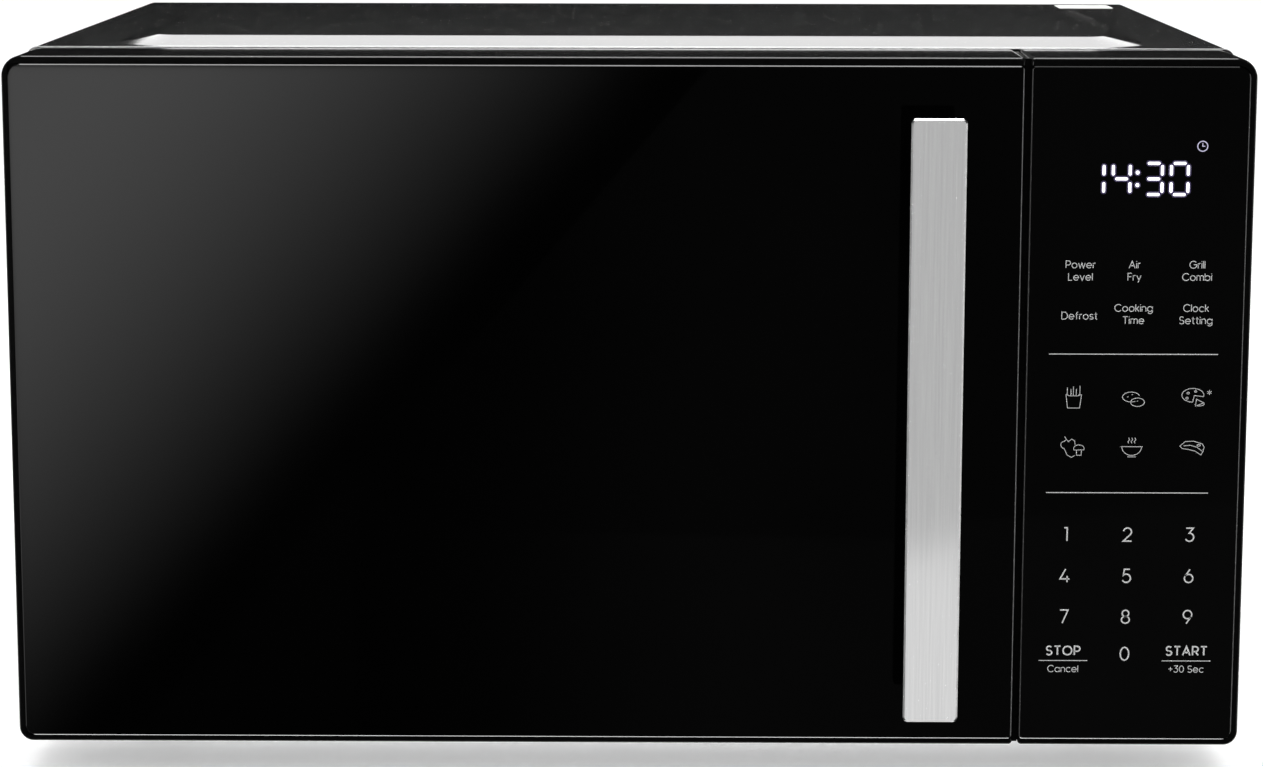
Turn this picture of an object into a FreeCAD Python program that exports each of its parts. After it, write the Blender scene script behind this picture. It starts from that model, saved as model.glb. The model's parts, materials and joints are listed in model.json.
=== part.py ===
"""Countertop microwave oven with grill and convection heat, 28 litre class.

Row frame: X to the right, Y to the rear, Z up, millimetres. The origin is on the floor, at the
middle of the box round the whole oven. The door is on the left and its hinge is at its left edge.
"""
import FreeCAD, Part
import math
import os
import re
import Sketcher

DOC = FreeCAD.newDocument("MicrowaveOven")
SHEET = DOC.addObject("Spreadsheet::Sheet", "Dims")
VECTOR = FreeCAD.Vector
AXES = {"X": VECTOR(1, 0, 0), "Y": VECTOR(0, 1, 0), "Z": VECTOR(0, 0, 1)}

# Driving dimensions, millimetres.
DIMENSIONS = {
    # the front: door and control panel share one outline
    "front_wide": 513.0, "low": 15.0, "high": 303.5,
    "front": -180.0, "mate": -127.0, "lip": 0.8, "front_edge_round": 1.0,
    "corner_top": 8.5, "corner_low": 6.0, "corner_seam": 1.5,
    "seam_left": 161.8, "seam_right": 164.2,
    "side_lip": 2.85, "top_lip": 3.3, "low_lip": 2.65, "fit": 0.25,
    # cabinet of folded sheet
    "cabinet_wide": 511.0, "cabinet_low": 16.0, "cabinet_round": 4.5, "skin": 0.8, "rear": 215.0,
    "rise": 3.0, "emboss_wide": 452.0, "emboss_front": -119.0, "emboss_rear": 172.0,
    "emboss_round": 26.0, "emboss_run": 20.0, "emboss_run_front": 27.0, "emboss_top_round": 9.0,
    "plate": 1.0, "rear_panel_at": 211.0, "base_lip": 8.0,
    "vent_wide": 26.0, "vent_tall": 3.0, "side_vent_front": 60.0, "side_vent_low": 70.0,
    "side_vent_step": 36.0, "side_vent_pitch": 7.0, "rear_vent_pitch": 8.0,
    "bay_left": 172.0, "bay_right": 248.0, "bay_low": 60.0, "bay_high": 286.0,
    "edge_gap": 0.3, "label_wide": 27.0, "label_deep": 26.0, "label_thick": 0.15,
    "label_x": 230.0, "label_y": 178.0,
    # oven cavity
    "cavity_left": -222.0, "cavity_right": 123.0, "cavity_floor": 41.0, "cavity_roof": 261.0,
    "cavity_back": 174.0, "centre_x": -49.5, "centre_y": 24.0, "centre_z": 151.0,
    # door
    "door_back": -128.4, "ledge": -176.8, "flange_back": -170.0, "door_wall": 2.5,
    "column_right_x": -233.8, "glass_bevel": 0.4, "glass_round": 5.0,
    "window_left": -214.0, "window_right": 100.0, "window_low": 50.0, "window_high": 262.0,
    "plate_back": -152.0, "plateau_back": -131.0, "plateau_left": -228.0, "plateau_right": 128.0,
    "plateau_low": 34.0, "plateau_high": 268.0, "pane_back": -128.2, "cover_back": -128.0,
    "pane_inset": 4.0,
    # door hinge
    "hinge_x": -246.5, "hinge_y": -140.0, "pin_round": 3.0, "pin_fit": 0.05,
    "tab_half": 7.0, "tab_thick": 3.0, "tab_upper": 293.5, "tab_lower": 21.5, "tab_gap": 0.6,
    "notch_front": 10.0, "notch_side": 9.0, "pin_reach": 14.5, "bracket_tall": 26.0,
    "bracket_back": -123.0, "hinge_screw_near": 8.5, "hinge_screw_far": 18.5,
    # handle
    "handle_left": 113.2, "handle_wide": 22.3, "handle_low": 34.1, "handle_tall": 247.7,
    "handle_front": -215.0, "handle_thick": 8.5, "handle_round": 2.0, "handle_bevel": 0.7,
    "post_wide": 14.0, "post_tall": 26.0, "post_inset": 16.0, "screw_round": 2.0,
    "screw_deep": 18.0, "screw_head": 4.0, "screw_head_thick": 2.4, "case_head_thick": 1.8,
    # latch
    "hook_left": 142.5, "hook_thick": 5.0, "hook_bar_front": -150.0, "hook_bar_back": -138.0,
    "hook_bar_low": 60.0, "hook_bar_high": 256.0, "hook_tip": -108.0, "hook_tall": 9.0,
    "hook_one": 76.0, "hook_two": 226.0, "barb": 4.0, "barb_long": 6.0, "hook_lift": 4.0,
    "slot_side": 2.5, "slot_spare": 0.8, "latch_left": 134.0, "latch_right": 158.0,
    "latch_back": -104.0, "switch_deep": 18.0, "switch_tall": 10.0, "switch_left": 136.0,
    "switch_wide": 20.0, "plunger_round": 1.5, "plunger_long": 6.0, "plunger_gap": 0.4,
    "plunger_hole_deep": 5.0, "pair_switch_half": 4.2, "spring_round": 3.5, "spring_bore": 2.5,
    "spring_long": 25.5,
    # control panel
    "panel_ledge": -177.6, "panel_flange_back": -172.0, "panel_border": 8.0,
    "display_left": 187.0, "display_wide": 50.0, "display_low": 241.0, "display_tall": 27.0,
    "display_deep": 9.0,
    # turntable
    "shaft_round": 3.5, "tray_low": 58.0, "tray_round": 135.0, "tray_thick": 5.0,
    "tray_rim": 7.0, "tray_rim_wide": 4.0, "coupler_round": 11.0, "lobe_reach": 21.0,
    "lobe_wide": 7.0, "lobe_tall": 7.9, "dog_in": 23.0, "dog_out": 28.0, "dog_wide": 8.0,
    "ring_in": 97.0, "ring_out": 104.0, "ring_low": 46.5, "ring_tall": 6.0, "axle_z": 49.5,
    "axle_round": 2.0, "roller_round": 8.4, "roller_in": 108.0, "roller_wide": 8.0,
    "roller_bore": 2.06, "cap_round": 3.2, "cap_thick": 1.2, "floor_hole": 14.0,
    # fans
    "fan_x": 191.0, "fan_z": 215.0, "fan_front": 170.0, "fan_deep": 14.0, "fan_round": 46.0,
    "fan_hub": 12.0, "blade_thick": 1.6, "blade_chord": 0.42, "fan_tilt": 62.0, "fan_shaft": 2.0,
    "fan_shaft_front": 152.0, "fan_shaft_long": 20.0, "rotor_tilt": 25.0,
    "rotor_shaft_front": 184.0, "rotor_shaft_long": 22.0, "shroud_round": 49.0, "shroud_back": 188.0,
    "baffle_round": 95.0, "intake_round": 86.0, "dish_round": 92.0, "dish_deep": 22.0,
    "shaft_hole": 5.0, "lamp_hole": 8.0,
    "rotor_front": 178.0, "rotor_deep": 12.0, "rotor_round": 60.0, "ring_heater_round": 76.0,
    "tube_round": 3.3, "ring_heater_y": 186.0, "grill_z": 250.0, "grill_front": -50.0,
    "grill_rear": 96.0, "grill_left": -180.0, "grill_bend": 34.0,
    # cooling fins of the magnetron
    "fin_first": 8.0, "fin_pitch": 10.0, "fin_thick": 0.8,
    # cord gland and feet
    "gland_x": 205.0, "gland_z": 42.0, "gland_bore": 4.0, "gland_neck": 8.0, "gland_flange": 11.0,
    "foot_x": 205.0, "foot_front": -95.0, "foot_rear": 180.0, "foot_round": 15.0,
}

# Columns of slots in the rear panel: left end, width, lowest slot, number of slots.
REAR_VENTS = ((150.0, 36.0, 170.0, 12), (196.0, 36.0, 170.0, 12), ("centre_x - 36", 72.0, 118.0, 9),
              (-230.0, 30.0, 60.0, 10), (-190.0, 30.0, 60.0, 10))

# Rows of slots in the convection cover: half of each slot's length, lowest row first.
COVER_SLOTS = (20.0, 30.0, 36.0, 40.0, 42.0, 42.0, 42.0, 40.0, 36.0, 30.0, 20.0)

# Screws in the rear panel: across and up.
CASE_SCREWS = ((-244.0, 28.0), (-120.0, 28.0), (120.0, 28.0), (244.0, 28.0), (-244.0, 292.0),
               (-120.0, 292.0), (0.0, 292.0), (120.0, 292.0), (244.0, 292.0))

# Plain inner pieces: left, front and low corner, then width, depth and height.
BLOCKS = {
    "transformer_core": (140.0, -70.0, 17.0, 84.0, 60.0, 74.0),
    "core_window": (155.0, -75.0, 32.0, 54.0, 70.0, 44.0),
    "core_leg": (172.0, -70.0, 32.0, 20.0, 60.0, 44.0),
    "coil": (157.0, -84.0, 33.0, 50.0, 88.0, 42.0),
    "coil_bore": (171.5, -85.0, 31.0, 21.0, 90.0, 46.0),
    "magnetron_yoke": (152.0, 0.0, 160.0, 82.0, 80.0, 86.0),
    "magnetron_room": (155.0, -1.0, 164.0, 76.0, 82.0, 78.0),
    "waveguide_out": (123.8, -8.0, 150.0, 26.0, 92.0, 100.0),
    "waveguide_in": (122.8, -7.0, 151.0, 26.0, 90.0, 98.0),
    "feed_window": (122.5, 10.0, 176.0, 2.0, 56.0, 50.0),
    "mica": (122.2, 4.0, 170.0, 0.8, 68.0, 62.0),
    "duct_out": (138.0, 92.0, 156.0, 110.0, 56.0, 112.0),
    "duct_in": (139.5, 91.0, 157.5, 107.0, 58.0, 109.0),
    "filter_card": (140.0, 96.0, 116.0, 100.0, 90.0, 1.6),
    "filter_choke": (150.0, 120.0, 117.6, 28.0, 28.0, 24.0),
    "filter_box": (190.0, 126.0, 117.6, 24.0, 14.0, 18.0),
    "filter_fuse": (196.0, 160.0, 117.6, 26.0, 7.0, 8.0),
    "board": (169.0, -160.0, 40.0, 83.0, 1.6, 190.0),
    "board_transformer": (178.0, -158.4, 50.0, 32.0, 24.0, 26.0),
    "board_relay_a": (216.0, -158.4, 50.0, 18.0, 18.0, 24.0),
    "board_relay_b": (216.0, -158.4, 82.0, 18.0, 18.0, 24.0),
    "board_chip": (190.0, -158.4, 150.0, 30.0, 3.0, 30.0),
    "touch_board": (172.5, -177.6, 26.0, 75.5, 1.6, 198.0),
    "motor_stack": (166.0, 150.0, 195.0, 50.0, 16.0, 40.0),
    "motor_strap": (136.0, 164.0, 211.0, 110.0, 2.0, 8.0),
    "motor_leg": (136.0, 166.0, 211.0, 3.0, 20.0, 8.0),
    "motor_leg_far": (243.0, 166.0, 211.0, 3.0, 20.0, 8.0),
    "shroud_plate": (132.0, 186.0, 158.0, 118.0, 2.0, 114.0),
    "lamp_base": (124.0, -82.0, 222.0, 12.0, 28.0, 28.0),
}

# Plain round inner pieces: the centre of one end, then radius and length.
RODS = {
    "antenna": ("X", 134.0, 40.0, 203.0, 9.0, 21.0),
    "magnetron_core": ("X", 155.0, 40.0, 203.0, 20.0, 76.0),
    "capacitor": ("Z", 170.0, 70.0, 17.0, 18.0, 86.0),
    "capacitor_post": ("Z", 170.0, 70.0, 103.0, 3.0, 8.0),
    "diode": ("Y", 200.0, 40.0, 24.0, 3.5, 26.0),
    "lamp": ("X", 136.0, -68.0, 236.0, 9.0, 22.0),
    "cavity_cutout": ("Z", 40.0, -60.0, 261.8, 9.0, 9.0),
    "oven_cutout": ("Z", -140.0, 60.0, 261.8, 9.0, 9.0),
    "tube_cutout": ("Z", 190.0, 40.0, 246.0, 9.0, 9.0),
    "table_motor": ("Z", -49.5, 24.0, 20.0, 24.0, 20.2),
    "rotor_motor": ("Y", -49.5, 197.0, 151.0, 30.0, 13.0),
}
BLOCK_SIDES = ("x", "y", "z", "wide", "deep", "tall")
ROD_SIDES = ("x", "y", "z", "round", "long")
PLANES = {"XY": ("XY_Plane", 1, False), "XZ": ("XZ_Plane", -1, True), "YZ": ("YZ_Plane", 1, False)}
NODES = {}


def fill_sheet():
    """Writes every dimension into the sheet, one aliased cell each."""
    for name, sizes in BLOCKS.items():
        DIMENSIONS.update({f"{name}_{side}": size for side, size in zip(BLOCK_SIDES, sizes)})
    for name, sizes in RODS.items():
        DIMENSIONS.update({f"{name}_{side}": size for side, size in zip(ROD_SIDES, sizes[1:])})
    for row, (alias, size) in enumerate(DIMENSIONS.items(), 1):
        SHEET.set(f"A{row}", alias)
        SHEET.set(f"B{row}", str(size))
        SHEET.setAlias(f"B{row}", alias)
    DOC.recompute()


def formula(text):
    """Turns 'seam_left - fit' into an expression that reads those cells of the sheet."""
    def cell(word):
        return f"Dims.{word.group()}" if word.group() in DIMENSIONS else word.group()
    return re.sub(r"[a-z_]+", cell, str(text))


def size(text):
    """The value of an expression on the sheet's cells, in millimetres."""
    return float(SHEET.evalExpression(formula(text)))


def bind(obj, **formulas):
    """Binds properties to the sheet; x, y and z stand for the object's place."""
    for name, text in formulas.items():
        obj.setExpression(f"Placement.Base.{name}" if name in "xyz" else name, formula(text))
    return obj


def node(name, obj):
    """Names the object that makes one sub-part."""
    obj.Label = name
    NODES[name] = obj
    return obj


# ---- sketches ----

def drive(sketch, rules, driven):
    """Adds all the rules at once and binds the driven ones to the sheet."""
    first = sketch.ConstraintCount
    sketch.addConstraint(rules)
    for rule, text in driven.items():
        sketch.setExpression(f"Constraints[{first + rule}]", formula(text))


def outline(*corners):
    """A closed outline of level and upright lines; each corner is (x, y) or (x, y, round)."""
    def draw(sketch):
        count = len(corners)
        points = [VECTOR(size(corner[0]), size(corner[1]), 0) for corner in corners]
        rounds = [size(corner[2]) if len(corner) > 2 else 0.0 for corner in corners]
        lines, arcs = [], {}
        first = sketch.GeometryCount
        for i in range(count):
            start, end = points[i], points[(i + 1) % count]
            way = (end - start).normalize()
            lines.append(Part.LineSegment(start + way * rounds[i], end - way * rounds[(i + 1) % count]))
        sketch.addGeometry(lines, False)
        for i in range(count):
            if rounds[i]:
                before = (points[i] - points[i - 1]).normalize()
                after = (points[(i + 1) % count] - points[i]).normalize()
                turn = before.cross(after).z
                middle = points[i] + (after - before) * rounds[i]
                mid = middle - (after - before).normalize() * rounds[i]
                start, end = points[i] - before * rounds[i], points[i] + after * rounds[i]
                arc = Part.Arc(start, mid, end)
                arcs[i] = (sketch.addGeometry(arc, False), turn)
        rules = []
        for i in range(count):
            line, last = first + i, first + (i - 1) % count
            level = abs(points[(i + 1) % count].y - points[i].y) < 1e-6
            rules.append(Sketcher.Constraint("Horizontal" if level else "Vertical", line))
            if i in arcs:
                arc, turn = arcs[i]
                near, far = (1, 2) if turn > 0 else (2, 1)
                rules.append(Sketcher.Constraint("Tangent", last, 2, arc, near))
                rules.append(Sketcher.Constraint("Tangent", arc, far, line, 1))
            else:
                rules.append(Sketcher.Constraint("Coincident", last, 2, line, 1))
        driven = {}
        for i in range(count):
            level = abs(points[(i + 1) % count].y - points[i].y) < 1e-6
            kind, place, text = (("DistanceY", points[i].y, corners[i][1]) if level
                                 else ("DistanceX", points[i].x, corners[i][0]))
            driven[len(rules)] = text
            rules.append(Sketcher.Constraint(kind, -1, 1, first + i, 1, place))
            if i in arcs:
                driven[len(rules)] = corners[i][2]
                rules.append(Sketcher.Constraint("Radius", arcs[i][0], rounds[i]))
        drive(sketch, rules, driven)
    return draw


def rect(left, low, right, high, *rounds):
    """A rectangle; rounds are for the low left, low right, high right and high left corners."""
    corners = [(left, low), (right, low), (right, high), (left, high)]
    if rounds:
        rounds = rounds if len(rounds) == 4 else rounds * 4
        corners = [corner + (radius,) for corner, radius in zip(corners, rounds)]
    return outline(*corners)


def circle(x, y, radius):
    def draw(sketch):
        shape = Part.Circle(VECTOR(size(x), size(y), 0), VECTOR(0, 0, 1), size(radius))
        item = sketch.addGeometry(shape, False)
        rules = [Sketcher.Constraint("DistanceX", -1, 1, item, 3, size(x)),
                 Sketcher.Constraint("DistanceY", -1, 1, item, 3, size(y)),
                 Sketcher.Constraint("Radius", item, size(radius))]
        drive(sketch, rules, dict(enumerate((x, y, radius))))
    return draw


def body(name):
    return node(name, DOC.addObject("PartDesign::Body", name))


def sketch_on(owner, plane, at, *outlines):
    """A sketch on one of the body's own planes, moved to the given place along its axis."""
    role, sign, _ = PLANES[plane]
    sketch = owner.newObject("Sketcher::SketchObject", "Sketch")
    support = [item for item in owner.Origin.OriginFeatures if item.Role == role][0]
    sketch.AttachmentSupport = [(support, "")]
    sketch.MapMode = "FlatFace"
    sketch.setExpression("AttachmentOffset.Base.z", f"{sign} * ({formula(at)})")
    for draw in outlines:
        draw(sketch)
    return sketch


def pad(owner, plane, start, end, *outlines):
    """Adds material from start to end along the axis across the plane."""
    sketch = sketch_on(owner, plane, start, *outlines)
    feature = owner.newObject("PartDesign::Pad", "Pad")
    feature.Profile = sketch
    feature.setExpression("Length", f"({formula(end)}) - ({formula(start)})")
    feature.Reversed = PLANES[plane][2]
    return feature


def pocket(owner, plane, start, end, *outlines):
    """Cuts material from start to end along the axis across the plane."""
    sketch = sketch_on(owner, plane, start, *outlines)
    feature = owner.newObject("PartDesign::Pocket", "Pocket")
    feature.Profile = sketch
    feature.setExpression("Length", f"({formula(end)}) - ({formula(start)})")
    feature.Reversed = not PLANES[plane][2]
    return feature


def edge_names(feature, axis, place):
    """The edges of a feature that lie wholly at one place along an axis."""
    DOC.recompute()
    found = []
    for index, edge in enumerate(feature.Shape.Edges, 1):
        low, high = (getattr(edge.BoundBox, axis + end) for end in ("Min", "Max"))
        if abs(low - place) < 1e-4 and abs(high - place) < 1e-4:
            found.append(f"Edge{index}")
    return found


def soften(owner, kind, feature, axis, place, amount):
    """Rounds or bevels the edges at one place along an axis."""
    edges = edge_names(feature, axis, size(place))
    dress = owner.newObject(f"PartDesign::{kind}", kind)
    dress.Base = (feature, edges)
    bind(dress, **{"Radius" if kind == "Fillet" else "Size": amount})
    return dress


# ---- solids ----

def box(x, y, z, wide, deep, tall):
    return bind(DOC.addObject("Part::Box", "Box"), x=x, y=y, z=z, Length=wide, Width=deep, Height=tall)


def block(name):
    return box(*(f"{name}_{side}" for side in BLOCK_SIDES))


def cylinder(axis, x, y, z, radius, length):
    obj = DOC.addObject("Part::Cylinder", "Rod")
    obj.Placement.Rotation = FreeCAD.Rotation(AXES["Z"], AXES[axis])
    return bind(obj, x=x, y=y, z=z, Radius=radius, Height=length)


def rod(name):
    return cylinder(RODS[name][0], *(f"{name}_{side}" for side in ROD_SIDES))


def fuse(*parts):
    obj = DOC.addObject("Part::MultiFuse", "Fuse")
    obj.Shapes = parts
    return obj


def group(*parts):
    obj = DOC.addObject("Part::Compound", "Group")
    obj.Links = parts
    return obj


def cut(base, *tools):
    obj = DOC.addObject("Part::Cut", "Cut")
    obj.Base = base
    obj.Tool = tools[0] if len(tools) == 1 else fuse(*tools)
    return obj


def comb(name, sizes):
    """A row of plain boxes that cuts slots; sizes are low corners and sides."""
    teeth = DOC.addObject("Part::Feature", name)
    teeth.Shape = Part.makeCompound([Part.makeBox(*item[3:], VECTOR(*item[:3])) for item in sizes])
    return teeth


# ---- casing ----

def make_cabinet():
    """Top and sides folded from one sheet, with a raised top panel and side vents."""
    cabinet = DOC.addObject("PartDesign::Body", "Wrapper")
    half, inside = "cabinet_wide / 2", "cabinet_wide / 2 - skin"
    pad(cabinet, "XZ", "mate", "rear", outline(
        (f"-{half}", "cabinet_low"), (f"-({inside})", "cabinet_low"),
        (f"-({inside})", "high - skin", "cabinet_round - skin"),
        (inside, "high - skin", "cabinet_round - skin"),
        (inside, "cabinet_low"), (half, "cabinet_low"),
        (half, "high", "cabinet_round"), (f"-{half}", "high", "cabinet_round")))
    for kind, drop in (("Additive", "skin"), ("Subtractive", "2 * skin")):
        base = sketch_on(cabinet, "XY", f"high - {drop}", rect(
            "-emboss_wide / 2", "emboss_front", "emboss_wide / 2", "emboss_rear", "emboss_round"))
        top = sketch_on(cabinet, "XY", f"high + rise + skin - {drop}", rect(
            "-emboss_wide / 2 + emboss_run", "emboss_front + emboss_run_front",
            "emboss_wide / 2 - emboss_run", "emboss_rear - emboss_run", "emboss_top_round"))
        loft = cabinet.newObject(f"PartDesign::{kind}Loft", "Emboss")
        loft.Profile = base
        loft.Sections = [top]
        loft.Ruled = True
    first, step = size("side_vent_front"), size("side_vent_step")
    low, pitch = size("side_vent_low"), size("side_vent_pitch")
    slots = [(end - 2, first + step * column, low + pitch * row, 4, size("vent_wide"), size("vent_tall"))
             for end in (-size(half), size(half)) for column in range(3) for row in range(9)]
    node("outer_cabinet", cut(cabinet, comb("SideVents", slots)))


def make_casing():
    """Base, rear and front sheets, feet, screws, label and the cord's gland."""
    inner = "cabinet_wide / 2 - skin - edge_gap"
    under = "cabinet_low + plate"
    base = body("base_plate")
    pad(base, "XY", "cabinet_low", under, rect(f"-({inner})", "mate + plate", inner, "rear_panel_at"))
    pad(base, "XY", under, f"{under} + base_lip",
        rect(f"-({inner})", "bracket_back + 1", inner, "rear_panel_at"),
        rect(f"-({inner}) + plate", "bracket_back + 1 + plate", f"{inner} - plate",
             "rear_panel_at - plate"))

    rear = DOC.addObject("PartDesign::Body", "Rear")
    top = "high - skin - edge_gap"
    pad(rear, "XZ", "rear_panel_at", "rear_panel_at + plate",
        rect(f"-({inner})", "cabinet_low", inner, top, "cabinet_round"),
        circle("gland_x", "gland_z", "gland_neck + pin_fit"))
    back, pitch = size("rear_panel_at") - 1, size("rear_vent_pitch")
    vents = [(size(left), back, low + pitch * row, wide, 3, size("vent_tall"))
             for left, wide, low, count in REAR_VENTS for row in range(count)]
    node("rear_panel", cut(rear, comb("RearVents", vents)))

    front = body("front_plate")
    pad(front, "XZ", "mate", "mate + plate",
        rect(f"-({inner})", under, inner, top, "cabinet_round"),
        rect("cavity_left", "cavity_floor", "cavity_right", "cavity_roof"),
        rect("bay_left", "bay_low", "bay_right", "bay_high"))
    slots = [rect("hook_left - slot_side", f"{hook} - barb - slot_spare",
                  "hook_left + hook_thick + slot_side + 1", f"{hook} + hook_tall + hook_lift + slot_spare")
             for hook in ("hook_one", "hook_two")]
    slots += [rect("hinge_x - tab_half - pin_fit", f"{tab} - pin_fit", "hinge_x + tab_half + pin_fit",
                   f"{tab} + tab_thick + pin_fit") for tab in ("tab_upper", "tab_lower")]
    pocket(front, "XZ", "mate - 1", "mate + 2 * plate", *slots)

    feet = [cylinder("Z", x, y, 0, "foot_round", "cabinet_low")
            for x in ("-foot_x", "foot_x") for y in ("foot_front", "foot_rear")]
    node("feet", group(*feet))
    node("rear_label", box("label_x - label_wide / 2", "label_y", "high", "label_wide", "label_deep",
                           "label_thick"))

    gland = body("cord_gland")
    pad(gland, "XZ", "rear_panel_at - 4", "rear - 0.5",
        circle("gland_x", "gland_z", "gland_neck"), circle("gland_x", "gland_z", "gland_bore"))
    pad(gland, "XZ", "rear_panel_at + plate", "rear - 0.5",
        circle("gland_x", "gland_z", "gland_flange"), circle("gland_x", "gland_z", "gland_bore"))

    heads = [cylinder("Y", x, "rear_panel_at + plate", z, "screw_head", "case_head_thick")
             for x, z in CASE_SCREWS]
    node("cabinet_screws", group(*heads))


def make_hinges():
    """Two brackets behind the front plate, whose tabs carry the door's pins."""
    back = "mate + plate"
    for name, tab, low in (("hinge_upper", "tab_upper", "tab_upper + tab_thick - bracket_tall"),
                           ("hinge_lower", "tab_lower", "tab_lower")):
        bracket = body(name)
        pad(bracket, "XZ", back, "bracket_back",
            rect("hinge_x - tab_half", low, "hinge_x + tab_half", f"{low} + bracket_tall"))
        pad(bracket, "XY", tab, f"{tab} + tab_thick",
            rect("hinge_x - tab_half", "hinge_y - tab_half", "hinge_x + tab_half", "bracket_back",
                 "tab_half - 0.1", "tab_half - 0.1", 0.5, 0.5))
        pocket(bracket, "XY", f"{tab} - 1", f"{tab} + tab_thick + 1",
               circle("hinge_x", "hinge_y", "pin_round"))
    node("hinge_pins", group(
        cylinder("Z", "hinge_x", "hinge_y", "tab_upper - pin_reach + tab_thick", "pin_round", "pin_reach"),
        cylinder("Z", "hinge_x", "hinge_y", "tab_lower", "pin_round", "pin_reach")))
    heads = [cylinder("Y", "hinge_x", "bracket_back", f"{tab} {way} {place}", "screw_head - 1",
                      "case_head_thick")
             for tab, way in (("tab_upper", "-"), ("tab_lower", "+"))
             for place in ("hinge_screw_near", "hinge_screw_far")]
    node("hinge_screws", group(*heads))


# ---- door ----

def spandrel(sketch):
    """The corner outside the round that the door's rear left edge turns on."""
    reach, side = size("door_back - hinge_y"), size("front_wide / 2 + hinge_x")
    middle = VECTOR(size("hinge_x"), size("hinge_y"), 0)
    left, back = middle.x - side, middle.y + reach
    touch = VECTOR(left, middle.y + math.sqrt(reach ** 2 - side ** 2), 0)
    turn = math.pi - math.asin((touch.y - middle.y) / reach)
    far_left, far_back = left - 1, back + 1
    sketch.addGeometry([
        Part.ArcOfCircle(Part.Circle(middle, VECTOR(0, 0, 1), reach), math.pi / 2, turn),
        Part.LineSegment(touch, VECTOR(far_left, touch.y, 0)),
        Part.LineSegment(VECTOR(far_left, touch.y, 0), VECTOR(far_left, far_back, 0)),
        Part.LineSegment(VECTOR(far_left, far_back, 0), VECTOR(middle.x, far_back, 0)),
        Part.LineSegment(VECTOR(middle.x, far_back, 0), VECTOR(middle.x, back, 0))], False)
    rules = [("Coincident", 0, 2, 1, 1), ("Coincident", 1, 2, 2, 1), ("Coincident", 2, 2, 3, 1),
             ("Coincident", 3, 2, 4, 1), ("Coincident", 4, 2, 0, 1), ("Horizontal", 1),
             ("Vertical", 2), ("Horizontal", 3), ("Vertical", 4)]
    sketch.addConstraint([Sketcher.Constraint(*rule) for rule in rules])
    for kind, item, point, text in (
            ("DistanceX", 0, 3, "hinge_x"), ("DistanceY", 0, 3, "hinge_y"),
            ("DistanceX", 0, 2, "-front_wide / 2"), ("DistanceX", 2, 1, "-front_wide / 2 - 1"),
            ("DistanceY", 3, 1, "door_back + 1")):
        rule = sketch.addConstraint(Sketcher.Constraint(kind, -1, 1, item, point, size(text)))
        sketch.setExpression(f"Constraints[{rule}]", formula(text))
    rule = sketch.addConstraint(Sketcher.Constraint("Radius", 0, reach))
    sketch.setExpression(f"Constraints[{rule}]", formula("door_back - hinge_y"))


def handle_places():
    """Heights of the two handle posts' middles."""
    return ("handle_low + post_inset + post_tall / 2",
            "handle_low + handle_tall - post_inset - post_tall / 2")


def make_door_frame():
    """Moulded surround of the door, open at the rear for the steel plate."""
    frame = body("door_frame")
    left = "-front_wide / 2"
    slab = pad(frame, "XZ", "front + lip", "door_back", rect(
        left, "low", "seam_left", "high", "corner_low", "corner_seam", "corner_seam", "corner_top"))
    soften(frame, "Fillet", slab, "Y", "front + lip", "front_edge_round")
    pocket(frame, "XY", "low - 1", "high + 1", spandrel)
    pocket(frame, "XZ", "front - 1", "ledge", rect(
        f"{left} + side_lip - fit", "low + low_lip - fit", "seam_left + 1", "high - top_lip + fit"))
    pocket(frame, "XZ", "ledge - 1", "flange_back + 1",
           rect("window_left", "window_low", "window_right", "window_high", 6))
    pocket(frame, "XZ", "flange_back", "door_back + 1",
           rect("column_right_x", "low + door_wall", "seam_left - door_wall", "high - door_wall"))
    for tab, bore_low, bore_high in (
            ("tab_upper", "tab_upper + tab_thick - pin_reach - 0.5", "tab_upper + 0.5"),
            ("tab_lower", "tab_lower + 0.5", "tab_lower + pin_reach + 0.5")):
        pocket(frame, "XY", f"{tab} - tab_gap", f"{tab} + tab_thick + tab_gap",
               rect(f"{left} - 1", "hinge_y - notch_front", "hinge_x + notch_side", "door_back + 1"))
        pocket(frame, "XY", bore_low, bore_high, circle("hinge_x", "hinge_y", "pin_round + pin_fit"))
    holes = [circle("handle_left + handle_wide / 2", place, "screw_round + 0.3")
             for place in handle_places()]
    pocket(frame, "XZ", "ledge - 1", "flange_back + 1", *holes)


def make_door_glass():
    glass = body("door_glass")
    slab = pad(glass, "XZ", "front", "ledge", rect(
        "-front_wide / 2 + side_lip", "low + low_lip", "seam_left - 0.4", "high - top_lip",
        "corner_low - 2", "corner_seam", "corner_seam", "glass_round"))
    soften(glass, "Chamfer", slab, "Y", "front", "glass_bevel")
    holes = [circle("handle_left + handle_wide / 2", place, "screw_round + 0.3")
             for place in handle_places()]
    pocket(glass, "XZ", "front - 1", "ledge + 1", *holes)


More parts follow.
